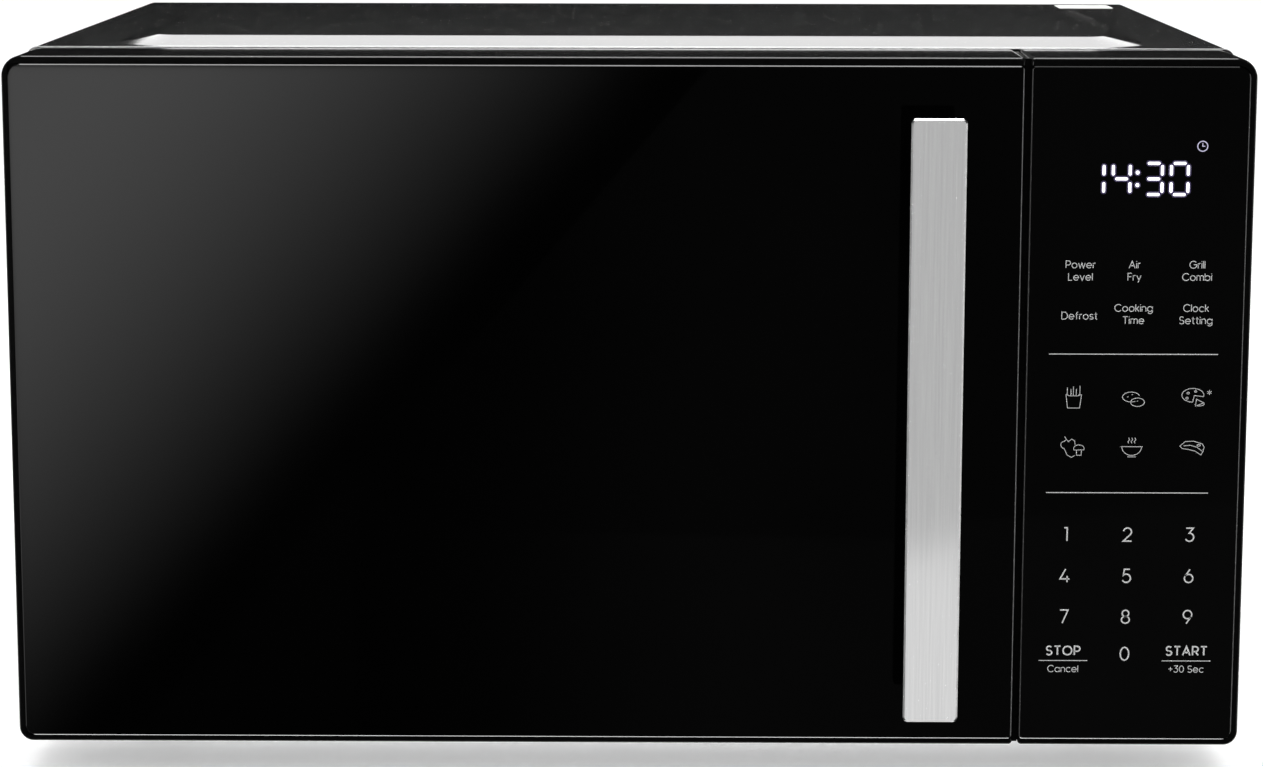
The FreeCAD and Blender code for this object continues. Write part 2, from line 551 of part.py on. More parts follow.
def make_door_inside():
    """Pressed steel plate with its choke channel, the inner pane and the choke cover."""
    left, low = "column_right_x + 0.5", "low + door_wall + 0.5"
    right, high = "seam_left - door_wall - 0.5", "high - door_wall - 0.5"
    plateau = ("plateau_left", "plateau_low", "plateau_right", "plateau_high")
    inner = tuple(f"{side} {sign} plate" for side, sign in zip(plateau, "++--"))
    plate = body("door_plate")
    pad(plate, "XZ", "plate_back - plate", "plate_back", rect(left, low, right, high), rect(*inner))
    pad(plate, "XZ", "plate_back", "plateau_back", rect(left, low, right, high),
        rect(f"{left} + plate", f"{low} + plate", f"{right} - plate", f"{high} - plate"))
    pad(plate, "XZ", "plate_back - plate", "plateau_back", rect(*plateau), rect(*inner))
    pad(plate, "XZ", "plateau_back - plate", "plateau_back", rect(*plateau))

    inset = tuple(f"{side} {sign} pane_inset" for side, sign in zip(plateau, "++--"))
    pane = body("inner_pane")
    pad(pane, "XZ", "plateau_back", "pane_back", rect(*inset))

    cover = body("choke_cover")
    pad(cover, "XZ", "plateau_back", "cover_back", rect(left, low, right, high),
        rect(*(f"{side} {sign} fit" for side, sign in zip(inset, "--++"))))
    slots = [rect("hook_left - 1", f"{hook} - barb - slot_spare", "hook_left + hook_thick + 1",
                  f"{hook} + hook_tall + hook_lift + slot_spare") for hook in ("hook_one", "hook_two")]
    pocket(cover, "XZ", "plateau_back - 1", "cover_back + 1", *slots)


def make_handle():
    """Flat aluminium bar on two posts, screwed through the glass from inside the door."""
    bar = body("handle_bar")
    back = "handle_front + handle_thick"
    slab = pad(bar, "XZ", "handle_front", back, rect(
        "handle_left", "handle_low", "handle_left + handle_wide", "handle_low + handle_tall",
        "handle_round"))
    soften(bar, "Chamfer", slab, "Y", "handle_front", "handle_bevel")
    middle = "handle_left + handle_wide / 2"
    posts = [box(f"{middle} - post_wide / 2", back, f"{place} - post_tall / 2", "post_wide",
                 f"front - ({back})", "post_tall") for place in handle_places()]
    bores = [cylinder("Y", middle, "front - screw_deep", place, "screw_round + pin_fit",
                      "screw_deep + 1") for place in handle_places()]
    node("handle_posts", cut(group(*posts), *bores))
    shanks = [cylinder("Y", middle, "front - screw_deep + 0.5", place, "screw_round",
                       "flange_back - front + screw_deep") for place in handle_places()]
    heads = [cylinder("Y", middle, "flange_back", place, "screw_head", "screw_head_thick")
             for place in handle_places()]
    node("handle_screws", group(*(fuse(shank, head) for shank, head in zip(shanks, heads))))


def make_latch():
    """The door's sprung hooks, the latch body that takes them and its three switches."""
    hook = body("door_hook")
    right = "hook_left + hook_thick"
    pad(hook, "YZ", "hook_left", right,
        rect("hook_bar_front", "hook_bar_low", "hook_bar_back", "hook_bar_high"))
    for arm in ("hook_one", "hook_two"):
        pad(hook, "YZ", "hook_left", right, outline(
            ("hook_bar_back - 1", arm), ("hook_tip - barb_long", arm),
            ("hook_tip - barb_long", f"{arm} - barb"), ("hook_tip", f"{arm} - barb"),
            ("hook_tip", f"{arm} + hook_tall"), ("hook_bar_back - 1", f"{arm} + hook_tall")))
    middle_x, middle_y = "hook_left + hook_thick / 2", "(hook_bar_front + hook_bar_back) / 2"
    foot = "hook_bar_low - spring_long - 0.5"
    node("hook_spring", cut(
        cylinder("Z", middle_x, middle_y, foot, "spring_round", "spring_long"),
        cylinder("Z", middle_x, middle_y, f"{foot} - 1", "spring_bore", "spring_long + 2")))

    latch = body("latch_body")
    pad(latch, "XZ", "mate + plate", "latch_back",
        rect("latch_left", "hook_bar_low", "latch_right", "hook_bar_high"))
    rooms = [rect("hook_left - slot_side", f"{arm} - barb - slot_spare", f"{right} + slot_side + 1",
                  f"{arm} + hook_tall + hook_lift + slot_spare") for arm in ("hook_one", "hook_two")]
    pocket(latch, "XZ", "mate", "latch_back + 1", *rooms)

    switches = {"door_switch": "hook_two + 4.5", "safety_switch": "hook_one + 7.5",
                "monitor_switch": "hook_one - 1.5"}
    cases = []
    for name, place in switches.items():
        spare = "pair_switch_half" if "hook_one" in place else "switch_tall / 2"
        case = box("switch_left", "latch_back", f"{place} - {spare}", "switch_wide", "switch_deep",
                   f"2 * {spare}")
        bore = cylinder("Y", middle_x, "latch_back - 1", place, "plunger_round + pin_fit",
                        "plunger_hole_deep + 1")
        cases.append(cut(case, bore))
        start = "hook_tip + plunger_gap"
        node(f"{name}_plunger", cylinder("Y", middle_x, start, place, "plunger_round", "plunger_long"))
    node("microswitches", group(*cases))


# ---- control panel ----

def make_panel():
    """Moulded frame, flush glass, display, touch board and main board."""
    frame = body("control_frame")
    right = "front_wide / 2"
    slab = pad(frame, "XZ", "front + lip", "mate - 0.1", rect(
        "seam_right", "low", right, "high", "corner_seam", "corner_low", "corner_top", "corner_seam"))
    soften(frame, "Fillet", slab, "Y", "front + lip", "front_edge_round")
    pocket(frame, "XZ", "front - 1", "panel_ledge", rect(
        "seam_right - 1", "low + low_lip - fit", f"{right} - side_lip + fit", "high - top_lip + fit",
        0.3, "corner_low - 2", "glass_round", 0.3))
    pocket(frame, "XZ", "panel_ledge - 1", "panel_flange_back + 1",
           rect("seam_right + panel_border", "touch_board_z - fit", f"{right} - panel_border",
                "touch_board_z + touch_board_tall + fit"),
           rect("display_left - fit", "display_low - fit", "display_left + display_wide + fit",
                "display_low + display_tall + fit"))
    pocket(frame, "XZ", "panel_flange_back", "mate", rect(
        "seam_right + door_wall", "low + door_wall", f"{right} - door_wall", "high - door_wall"))

    glass = body("control_glass")
    slab = pad(glass, "XZ", "front", "panel_ledge", rect(
        "seam_right + 0.4", "low + low_lip", f"{right} - side_lip", "high - top_lip",
        "corner_seam", "corner_low - 2", "glass_round", "corner_seam"))
    soften(glass, "Chamfer", slab, "Y", "front", "glass_bevel")

    node("display_module", box("display_left", "panel_ledge", "display_low", "display_wide",
                               "display_deep", "display_tall"))
    node("touch_board", block("touch_board"))
    parts = ("board", "board_transformer", "board_relay_a", "board_relay_b", "board_chip")
    node("control_board", fuse(*(block(part) for part in parts)))


# ---- oven cavity ----

def make_cavity():
    """Five-sided oven liner with its rear fan opening, feed window and floor hole."""
    wide, tall = "cavity_right - cavity_left", "cavity_roof - cavity_floor"
    start = "mate + plate"
    outer = box("cavity_left - skin", start, "cavity_floor - skin", f"{wide} + 2 * skin",
                f"cavity_back + skin - ({start})", f"{tall} + 2 * skin")
    inner = box("cavity_left", f"{start} - 1", "cavity_floor", wide, f"cavity_back - ({start}) + 1",
                tall)
    intake = cylinder("Y", "centre_x", "cavity_back - 1", "centre_z", "intake_round", "skin + 2")
    hole = cylinder("Z", "centre_x", "centre_y", "cavity_floor - skin - 1", "floor_hole", "skin + 2")
    lamp_hole = cylinder("X", "cavity_right - 1", "lamp_y", "lamp_z", "lamp_hole",
                         "skin + 2")
    node("cavity_shell", cut(outer, inner, intake, hole, lamp_hole, block("feed_window")))
    node("waveguide_cover", block("mica"))

    sheet = cylinder("Y", "centre_x", "cavity_back - skin", "centre_z", "baffle_round", "skin")
    middle_x, middle_z, back = size("centre_x"), size("centre_z"), size("cavity_back") - 3
    lowest = middle_z - size("rear_vent_pitch") * (len(COVER_SLOTS) // 2) - 2
    slots = [(middle_x - half, back, lowest + size("rear_vent_pitch") * row, 2 * half, 6, 4)
             for row, half in enumerate(COVER_SLOTS)]
    node("convection_cover", cut(sheet, comb("CoverSlots", slots)))
    dish = body("fan_chamber")
    rear = "cavity_back + skin + dish_deep"
    pad(dish, "XZ", "cavity_back + skin", rear, circle("centre_x", "centre_z", "dish_round"),
        circle("centre_x", "centre_z", "dish_round - skin"))
    pad(dish, "XZ", f"{rear} - skin", rear, circle("centre_x", "centre_z", "dish_round"),
        circle("centre_x", "centre_z", "shaft_hole"))

    ring = bind(DOC.addObject("Part::Torus", "RingHeater"), x="centre_x", y="ring_heater_y",
                z="centre_z", Radius1="ring_heater_round", Radius2="tube_round")
    ring.Placement.Rotation = FreeCAD.Rotation(AXES["Z"], AXES["Y"])
    node("convection_heater", ring)
    motor = cut(rod("rotor_motor"),
                cylinder("Y", "centre_x", "rotor_motor_y - 1", "centre_z", "pin_round + pin_fit",
                         "rotor_motor_long"))
    node("convection_motor", motor)


def make_grill_heater():
    """Sheathed heating tube under the roof, bent to a U that opens to the right wall."""
    level, bend = size("grill_z"), size("grill_bend")
    left, right = size("grill_left"), size("cavity_right")
    front, rear = size("grill_front"), size("grill_rear")
    slack = bend * (1 - math.sqrt(0.5))
    path = Part.Wire([
        Part.LineSegment(VECTOR(right, front, level), VECTOR(left + bend, front, level)).toShape(),
        Part.Arc(VECTOR(left + bend, front, level), VECTOR(left + slack, front + slack, level),
                 VECTOR(left, front + bend, level)).toShape(),
        Part.LineSegment(VECTOR(left, front + bend, level), VECTOR(left, rear - bend, level)).toShape(),
        Part.Arc(VECTOR(left, rear - bend, level), VECTOR(left + slack, rear - slack, level),
                 VECTOR(left + bend, rear, level)).toShape(),
        Part.LineSegment(VECTOR(left + bend, rear, level), VECTOR(right, rear, level)).toShape()])
    section = Part.Wire([Part.makeCircle(size("tube_round"), VECTOR(right, front, level), AXES["X"])])
    heater = DOC.addObject("Part::Feature", "GrillHeater")
    heater.Shape = path.makePipeShell([section], True, False)
    node("grill_heater", heater)


# ---- turntable ----

def spokes(part, count, x, y):
    """Copies of a part turned about the upright axis through x, y."""
    copies = []
    for turn in range(count):
        angle = 360.0 * turn / count
        copy = DOC.addObject("Part::Feature", "Spoke")
        shape = part.Shape.copy()
        shape.rotate(VECTOR(size(x), size(y), 0), AXES["Z"], angle)
        copy.Shape = shape
        copies.append(copy)
    return copies


def make_turntable():
    """Motor, coupler, roller ring on three rollers, and the glass tray they carry."""
    shaft_low, hub_low = "table_motor_z + 4", "cavity_floor + 1.5"
    shaft = cylinder("Z", "centre_x", "centre_y", shaft_low, "shaft_round",
                     f"tray_low - 4 - ({shaft_low})")
    bore = cylinder("Z", "centre_x", "centre_y", shaft_low, "shaft_round + pin_fit",
                    "table_motor_long")
    node("turntable_motor", cut(rod("table_motor"), bore))
    hub = cylinder("Z", "centre_x", "centre_y", hub_low, "coupler_round",
                   f"tray_low - 0.1 - lobe_tall - ({hub_low})")
    lobe = box("centre_x", "centre_y - lobe_wide / 2", "tray_low - 0.1 - lobe_tall", "lobe_reach",
               "lobe_wide", "lobe_tall")
    DOC.recompute()
    node("turntable_coupler", fuse(shaft, hub, *spokes(lobe, 3, "centre_x", "centre_y")))

    plate = cylinder("Z", "centre_x", "centre_y", "tray_low", "tray_round", "tray_thick + tray_rim")
    well = DOC.addObject("Part::Cone", "Well")
    bind(well, x="centre_x", y="centre_y", z="tray_low + tray_thick", Height="tray_rim",
         Radius1="tray_round - 3 * tray_rim_wide", Radius2="tray_round - tray_rim_wide")
    under = DOC.addObject("Part::Cone", "Under")
    bind(under, x="centre_x", y="centre_y", z="tray_low", Radius1="tray_round - 2 * tray_rim_wide",
         Radius2="tray_round + tray_rim_wide", Height="tray_thick + tray_rim")
    dish = DOC.addObject("Part::Common", "Dish")
    dish.Base, dish.Tool = cut(plate, well), under
    dog = box("centre_x + dog_in", "centre_y - dog_wide / 2", "tray_low - 4", "dog_out - dog_in",
              "dog_wide", 4.5)
    DOC.recompute()
    node("glass_tray", fuse(dish, *spokes(dog, 3, "centre_x", "centre_y")))

    hoop = cut(cylinder("Z", "centre_x", "centre_y", "ring_low", "ring_out", "ring_tall"),
               cylinder("Z", "centre_x", "centre_y", "ring_low - 1", "ring_in", "ring_tall + 2"))
    axle = cylinder("X", "centre_x + ring_out - 1", "centre_y", "axle_z", "axle_round",
                    "roller_in + roller_wide + 2 - ring_out")
    cap = cylinder("X", "centre_x + roller_in + roller_wide + 0.4", "centre_y", "axle_z",
                   "cap_round", "cap_thick")
    wheel = cut(cylinder("X", "centre_x + roller_in", "centre_y", "axle_z", "roller_round",
                         "roller_wide"),
                cylinder("X", "centre_x + roller_in - 1", "centre_y", "axle_z", "roller_bore",
                         "roller_wide + 2"))
    spindle = fuse(axle, cap)
    DOC.recompute()
    node("roller_ring", fuse(hoop, *spokes(spindle, 3, "centre_x", "centre_y")))
    for number, copy in enumerate(spokes(wheel, 3, "centre_x", "centre_y"), 1):
        node(f"roller_{number}", copy)


# ---- fans and electrics ----

def bladed(name, x, z, front, deep, reach, blades, tilt, shaft, shaft_front, shaft_long):
    """A fan: hub, tilted blades and shaft on an axis along Y."""
    front, deep, reach, hub, thick = map(size, (front, deep, reach, "fan_hub", "blade_thick"))
    middle = VECTOR(size(x), front + deep / 2, size(z))
    chord = size("blade_chord") * reach
    solid = Part.makeCylinder(hub, deep, VECTOR(middle.x, front, middle.z), AXES["Y"])
    room = Part.makeCylinder(reach, deep, VECTOR(0, -deep / 2, 0), AXES["Y"])
    for turn in range(blades):
        blade = Part.makeBox(reach - hub + 1, thick, chord, VECTOR(hub - 1, -thick / 2, -chord / 2))
        blade.rotate(VECTOR(0, 0, 0), AXES["X"], size(tilt))
        blade = blade.common(room)
        blade.rotate(VECTOR(0, 0, 0), AXES["Y"], 360.0 * turn / blades)
        blade.translate(middle)
        solid = solid.fuse(blade)
    axle = Part.makeCylinder(size(shaft), size(shaft_long),
                             VECTOR(middle.x, size(shaft_front), middle.z), AXES["Y"])
    fan = DOC.addObject("Part::Feature", name)
    fan.Shape = solid.fuse(axle).removeSplitter()
    node(name, fan)


def make_fans():
    """Cooling fan with its motor, shroud and duct, and the convection fan."""
    bladed("cooling_fan", "fan_x", "fan_z", "fan_front", "fan_deep", "fan_round", 6, "fan_tilt",
           "fan_shaft", "fan_shaft_front", "fan_shaft_long")
    bladed("convection_fan", "centre_x", "centre_z", "rotor_front", "rotor_deep", "rotor_round", 10,
           "rotor_tilt", "pin_round", "rotor_shaft_front", "rotor_shaft_long")
    motor = fuse(block("motor_stack"), block("motor_strap"), block("motor_leg"), block("motor_leg_far"))
    node("cooling_motor", cut(motor, cylinder("Y", "fan_x", "motor_stack_y - 1", "fan_z",
                                              "fan_shaft + pin_fit", "fan_shaft_long")))
    hoop = cylinder("Y", "fan_x", "fan_front - 1", "fan_z", "shroud_round + 1.5",
                    "shroud_back - fan_front + 1")
    opening = cylinder("Y", "fan_x", "fan_front - 2", "fan_z", "shroud_round",
                       "shroud_back - fan_front + 4")
    node("fan_shroud", cut(fuse(hoop, block("shroud_plate")), opening))
    node("air_duct", cut(block("duct_out"), block("duct_in")))


def make_electrics():
    """Power parts beside the cavity, in the space behind the control panel."""
    loop = cut(block("transformer_core"), block("core_window"))
    node("transformer_core", fuse(loop, block("core_leg")))
    node("transformer_windings", cut(block("coil"), block("coil_bore")))
    yoke = cut(block("magnetron_yoke"), block("magnetron_room"))
    places = [f"magnetron_yoke_x + fin_first + {count} * fin_pitch" for count in range(7)]
    fins = [cut(box(place, "magnetron_yoke_y + 6", "magnetron_yoke_z + 6", "fin_thick",
                    "magnetron_yoke_deep - 12", "magnetron_yoke_tall - 12"),
                cylinder("X", f"{place} - 1", "magnetron_core_y", "magnetron_core_z",
                         "magnetron_core_round - 0.5", "fin_thick + 2")) for place in places]
    node("magnetron", fuse(yoke, rod("magnetron_core"), rod("antenna"), *fins))
    node("waveguide", cut(block("waveguide_out"), block("waveguide_in"),
                          cylinder("X", "waveguide_out_x + 20", "antenna_y", "antenna_z",
                                   "antenna_round + 0.5", 8)))
    node("capacitor", fuse(rod("capacitor"), rod("capacitor_post")))
    node("diode", rod("diode"))
    node("cavity_lamp", group(rod("lamp"), block("lamp_base")))
    node("thermal_cutouts", group(rod("cavity_cutout"), rod("oven_cutout"), rod("tube_cutout")))
    node("filter_board", fuse(*(block(part) for part in ("filter_card", "filter_choke", "filter_box",
                                                         "filter_fuse"))))


def write_parts():
    """Checks every object, then writes one STEP file for each node."""
    DOC.recompute()
    for obj in DOC.Objects:
        if {"Invalid", "Error"} & set(obj.State):
            raise RuntimeError(f"{obj.Name} ({obj.Label}) failed: {obj.State}")
    os.makedirs("parts", exist_ok=True)
    for name, obj in NODES.items():
        shape = obj.Shape
        if shape.isNull() or not shape.isValid() or not shape.Solids:
            raise RuntimeError(f"{name} has no valid solid")
        shape.exportStep(f"parts/{name}.step")


fill_sheet()
make_cabinet()
make_casing()
make_hinges()
make_door_frame()
make_door_glass()
make_door_inside()
make_handle()
make_latch()
make_panel()
make_cavity()
make_grill_heater()
make_turntable()
make_fans()
make_electrics()
write_parts()
print(len(NODES), "nodes")
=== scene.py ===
import json
import math
import bmesh
import bpy
from mathutils import Matrix, Vector


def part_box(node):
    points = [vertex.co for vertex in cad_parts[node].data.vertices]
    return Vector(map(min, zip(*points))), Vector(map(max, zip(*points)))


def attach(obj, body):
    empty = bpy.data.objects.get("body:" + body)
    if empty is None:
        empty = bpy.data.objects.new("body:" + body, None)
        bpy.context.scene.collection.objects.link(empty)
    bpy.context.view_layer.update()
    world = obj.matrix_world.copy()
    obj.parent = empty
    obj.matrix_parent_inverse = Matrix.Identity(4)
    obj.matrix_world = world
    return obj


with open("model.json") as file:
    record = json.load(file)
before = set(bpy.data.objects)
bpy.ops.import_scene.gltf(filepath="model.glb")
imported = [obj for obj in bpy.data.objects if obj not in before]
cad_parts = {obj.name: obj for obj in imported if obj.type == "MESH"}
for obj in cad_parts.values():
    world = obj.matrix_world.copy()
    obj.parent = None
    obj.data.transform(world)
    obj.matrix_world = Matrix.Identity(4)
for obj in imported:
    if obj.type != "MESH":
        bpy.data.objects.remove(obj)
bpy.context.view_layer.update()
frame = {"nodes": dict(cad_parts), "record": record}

MM = 0.001
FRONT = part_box("door_glass")[0].y
# Most of a noise pattern's values lie between these two.
PATTERN_LOW, PATTERN_HIGH = 0.3, 0.7

# ---------------------------------------------------------------- materials


class Nodes:
    """A material's node tree with short calls for making and linking nodes."""

    def __init__(self, name):
        self.material = bpy.data.materials.new(name)
        self.material.use_nodes = True
        self.tree = self.material.node_tree
        self.shader = self.tree.nodes["Principled BSDF"]

    def add(self, kind, links=(), **settings):
        """Makes a node; settings are its properties or its sockets' values."""
        node = self.tree.nodes.new(kind)
        for key, value in settings.items():
            if hasattr(node, key):
                setattr(node, key, value)
            else:
                node.inputs[key.replace("_", " ")].default_value = value
        for source, socket in links:
            self.tree.links.new(source, node.inputs[socket])
        return node

    def link(self, source, socket):
        self.tree.links.new(source, self.shader.inputs[socket])

    def place(self, stretch=(1, 1, 1)):
        """The point on the piece in metres, stretched per axis."""
        coords = self.add("ShaderNodeTexCoord")
        scaled = self.add("ShaderNodeMapping", [(coords.outputs["Object"], "Vector")])
        scaled.inputs["Scale"].default_value = stretch
        return scaled.outputs["Vector"]

    def noise(self, scale, stretch=(1, 1, 1), detail=3.0):
        return self.add("ShaderNodeTexNoise", [(self.place(stretch), "Vector")],
                        Scale=scale, Detail=detail).outputs["Fac"]

    def spread(self, source, low, high):
        """A number that follows a pattern from low to high."""
        node = self.add("ShaderNodeMapRange", [(source, "Value")], From_Min=PATTERN_LOW,
                        From_Max=PATTERN_HIGH, To_Min=low, To_Max=high)
        return node.outputs["Result"]

    def tint(self, source, low, high):
        """A colour that follows a pattern from low to high."""
        ramp = self.add("ShaderNodeValToRGB", [(source, "Fac")])
        stops = ramp.color_ramp.elements
        stops[0].position, stops[1].position = PATTERN_LOW, PATTERN_HIGH
        stops[0].color, stops[1].color = (*low, 1), (*high, 1)
        return ramp.outputs["Color"]

    def bump(self, source, strength, distance):
        """A relief that follows a pattern; distance is its height in metres."""
        node = self.add("ShaderNodeBump", [(source, "Height")], Strength=strength,
                        Distance=distance)
        self.link(node.outputs["Normal"], "Normal")

    def set(self, **sockets):
        """Sets what is the same all over the surface on the shader's own sockets."""
        for key, value in sockets.items():
            self.shader.inputs[key.replace("_", " ")].default_value = value


def surface(name, low, high, rough, grain=300.0, relief=0.0, stretch=(1, 1, 1), **sockets):
    """A material whose colour and roughness wander between two values with a noise pattern.

    grain is the pattern's scale per metre and relief the bump's height in metres.
    """
    nodes = Nodes(name)
    pattern = nodes.noise(grain, stretch)
    nodes.link(nodes.tint(pattern, low, high), "Base Color")
    nodes.link(nodes.spread(nodes.noise(grain * 0.37, stretch), *rough), "Roughness")
    if relief:
        nodes.bump(pattern, 0.5, relief)
    nodes.set(**sockets)
    return nodes.material


def grey(level):
    return (level, level, level)


def brushed_aluminium():
    """Satin metal with long streaks along Z."""
    nodes = Nodes("brushed_aluminium")
    streaks = nodes.noise(1.0, (9000, 9000, 45), 4.0)
    broad = nodes.noise(1.0, (1200, 1200, 14), 2.0)
    mixed = nodes.add("ShaderNodeMath", [(streaks, 0), (broad, 1)], operation="MULTIPLY_ADD")
    mixed.inputs[2].default_value = 0.25
    nodes.link(nodes.tint(mixed.outputs[0], (0.72, 0.72, 0.725), (0.86, 0.86, 0.86)), "Base Color")
    nodes.link(nodes.spread(streaks, 0.07, 0.10), "Roughness")
    nodes.bump(streaks, 0.02, 0.00001)
    tangent = nodes.add("ShaderNodeTangent", direction_type="RADIAL", axis="Z")
    nodes.link(tangent.outputs["Tangent"], "Tangent")
    nodes.set(Metallic=1.0, Anisotropic=0.3)
    return nodes.material


def galvanised():
    """Zinc-coated sheet with its crystal pattern."""
    nodes = Nodes("galvanised_sheet")
    cells = nodes.add("ShaderNodeTexVoronoi", [(nodes.place(), "Vector")], Scale=240.0)
    zinc = nodes.tint(cells.outputs["Distance"], (0.60, 0.61, 0.62), (0.70, 0.71, 0.72))
    nodes.link(zinc, "Base Color")
    nodes.link(nodes.spread(nodes.noise(160), 0.28, 0.45), "Roughness")
    nodes.set(Metallic=0.9)
    return nodes.material


def circuit():
    """Green board with a lattice of paler tracks."""
    nodes = Nodes("circuit_board")
    tracks = nodes.add("ShaderNodeTexBrick", [(nodes.place(), "Vector")], Scale=90.0,
                       Color1=(0.015, 0.10, 0.04, 1), Color2=(0.02, 0.13, 0.05, 1),
                       Mortar=(0.10, 0.28, 0.12, 1))
    nodes.link(tracks.outputs["Color"], "Base Color")
    nodes.link(nodes.spread(nodes.noise(400), 0.3, 0.45), "Roughness")
    return nodes.material


def laminated():
    """Stacked core sheets."""
    nodes = Nodes("laminated_core")
    stack = nodes.add("ShaderNodeTexWave", [(nodes.place(), "Vector")], Scale=260.0, Distortion=0.4,
                      bands_direction="Y")
    nodes.link(nodes.tint(stack.outputs["Fac"], grey(0.08), grey(0.22)), "Base Color")
    nodes.link(nodes.spread(nodes.noise(500), 0.4, 0.6), "Roughness")
    nodes.bump(stack.outputs["Fac"], 0.3, 0.0002)
    nodes.set(Metallic=0.6)
    return nodes.material


def glass(name, colour, rough):
    """See-through glass; rough holds its lowest and highest roughness."""
    nodes = Nodes(name)
    nodes.link(nodes.tint(nodes.noise(40), colour, tuple(c * 0.97 for c in colour)), "Base Color")
    nodes.link(nodes.spread(nodes.noise(25), *rough), "Roughness")
    nodes.set(Transmission_Weight=1.0, IOR=1.5)
    return nodes.material


def glowing(name, colour, strength, base=0.6):
    """A light-emitting segment whose light is slightly uneven; base is its own grey."""
    nodes = Nodes(name)
    dimmer = tuple(c * 0.86 for c in colour)
    nodes.link(nodes.tint(nodes.noise(700), dimmer, colour), "Emission Color")
    nodes.link(nodes.tint(nodes.noise(700), grey(base * 0.9), grey(base)), "Base Color")
    nodes.set(Emission_Strength=strength, Roughness=0.5)
    return nodes.material


# The front's glass reflects weakly, as coated glass does.
FASCIA_IOR = 1.09
MATERIALS = {
    "cabinet_paint": surface("black_enamel", grey(0.003), grey(0.005), (0.08, 0.11), 900,
                             0.000002),
    "galvanised": galvanised(),
    "oven_enamel": surface("oven_enamel", (0.30, 0.30, 0.295), (0.40, 0.40, 0.39), (0.18, 0.32),
                           900, 0.00002),
    "black_plastic": surface("black_plastic", grey(0.012), grey(0.022), (0.42, 0.55), 1200,
                             0.00003),
    "panel_plastic": surface("gloss_black_plastic", grey(0.002), grey(0.004), (0.04, 0.06), 900,
                             IOR=1.22),
    "tinted_glass": surface("door_glass", grey(0.0003), grey(0.0005), (0.02, 0.03), 12,
                            IOR=FASCIA_IOR),
    "panel_glass": surface("panel_glass", grey(0.0005), grey(0.0008), (0.03, 0.04), 12,
                           IOR=FASCIA_IOR),
    "clear_glass": glass("tray_glass", (0.93, 0.97, 0.95), (0.0, 0.03)),
    "aluminium": brushed_aluminium(),
    "die_cast": surface("die_cast", grey(0.16), grey(0.24), (0.35, 0.5), 700, 0.00004,
                        Metallic=0.9),
    "bright_steel": surface("bright_steel", grey(0.50), grey(0.64), (0.2, 0.34), 260, Metallic=1.0),
    "heater_sheath": surface("heater_sheath", (0.07, 0.06, 0.055), (0.15, 0.13, 0.12), (0.35, 0.55),
                             200, 0.00005, Metallic=0.8),
    "white_plastic": surface("white_plastic", (0.62, 0.62, 0.59), (0.72, 0.72, 0.69), (0.35, 0.5),
                             350),
    "grey_plastic": surface("grey_plastic", (0.22, 0.22, 0.215), (0.30, 0.30, 0.29), (0.4, 0.55),
                            600, 0.00002),
    "copper": surface("copper_winding", (0.42, 0.13, 0.04), (0.62, 0.24, 0.09), (0.25, 0.4), 1.0,
                      0.0003, (60, 60, 2600), Metallic=0.85),
    "core_steel": laminated(),
    "mica": surface("mica", (0.30, 0.25, 0.17), (0.46, 0.40, 0.29), (0.3, 0.6), 180, 0.00004),
    "circuit": circuit(),
    "display": surface("display_window", grey(0.004), grey(0.008), (0.08, 0.14), 200),
    "rubber": surface("rubber", grey(0.014), grey(0.026), (0.6, 0.8), 800, 0.00006),
    "label": surface("label_paper", (0.70, 0.70, 0.68), (0.80, 0.80, 0.78), (0.4, 0.55), 500),
}
INNER_GLASS = glass("inner_pane_glass", (0.42, 0.43, 0.42), (0.0, 0.02))
# Materials for single faces and thin pieces, chosen by which way a face looks, that carry painted
# light:
# painted highlights on the glass's edges and the cabinet's edge, painted shade on the bar's bevels, on
# the frames' front lip and in the strip in the seam.
# Chamfers of the glass reflect more than the glass, the lower ones most: painted highlights.
GLASS_EDGE = surface("glass_edge", grey(0.002), grey(0.004), (0.1, 0.15), 60, IOR=1.25)
LOW_GLASS_EDGE = surface("low_glass_edge", grey(0.002), grey(0.004), (0.1, 0.15), 60, IOR=2.0)
# Light grey on the glass's sideways chamfers, dimmer on the panel's glass: painted highlights.
EDGE_HIGHLIGHT = surface("glass_edge_highlight", grey(0.08), grey(0.12), (0.4, 0.5), 400)
DIM_EDGE_HIGHLIGHT = surface("dim_glass_edge_highlight", grey(0.03), grey(0.05), (0.4, 0.5), 400)
# A light grey line along the cabinet's front edge: a painted highlight.
CABINET_HIGHLIGHT = surface("cabinet_highlight_line", grey(0.36), grey(0.50), (0.25, 0.35), 500)
# Darker copies of the bar's brushed metal on its bevels, darkest on the lower ones: painted shade.
BAR_SHADE = surface("bar_shade", grey(0.28), grey(0.36), (0.25, 0.35), 400, Metallic=1.0)
LOW_BAR_SHADE = surface("bar_low_shade", grey(0.08), grey(0.11), (0.25, 0.35), 400, Metallic=1.0)
# A darker, barely reflecting copy of the black plastic for the frames' flat front lip: painted shade.
RIM_SHADE = surface("frame_rim_shade", grey(0.001), grey(0.002), (0.3, 0.4), 900, IOR=1.05)
# A near-black strip in the seam between the door and the panel: painted shade.
SEAM_SHADE = surface("seam_shade_sheet", grey(0.001), grey(0.002), (0.5, 0.6), 600, IOR=FASCIA_IOR)
LEGEND_INK = surface("legend_ink", grey(0.36), grey(0.45), (0.4, 0.5), 900)
DIGIT_LIGHT = glowing("digit_light", (0.93, 0.91, 1.0), 1.5)
HALO_LIGHT = glowing("halo_light", (0.035, 0.022, 0.09), 1.0, 0.02)
MARK_LIGHT = glowing("mark_light", (0.60, 0.56, 0.82), 0.75, 0.1)


# A chamfer of the front is a face whose normal leans towards the viewer by more and less than these.
CHAMFER_LEAN = (0.3, 0.9)
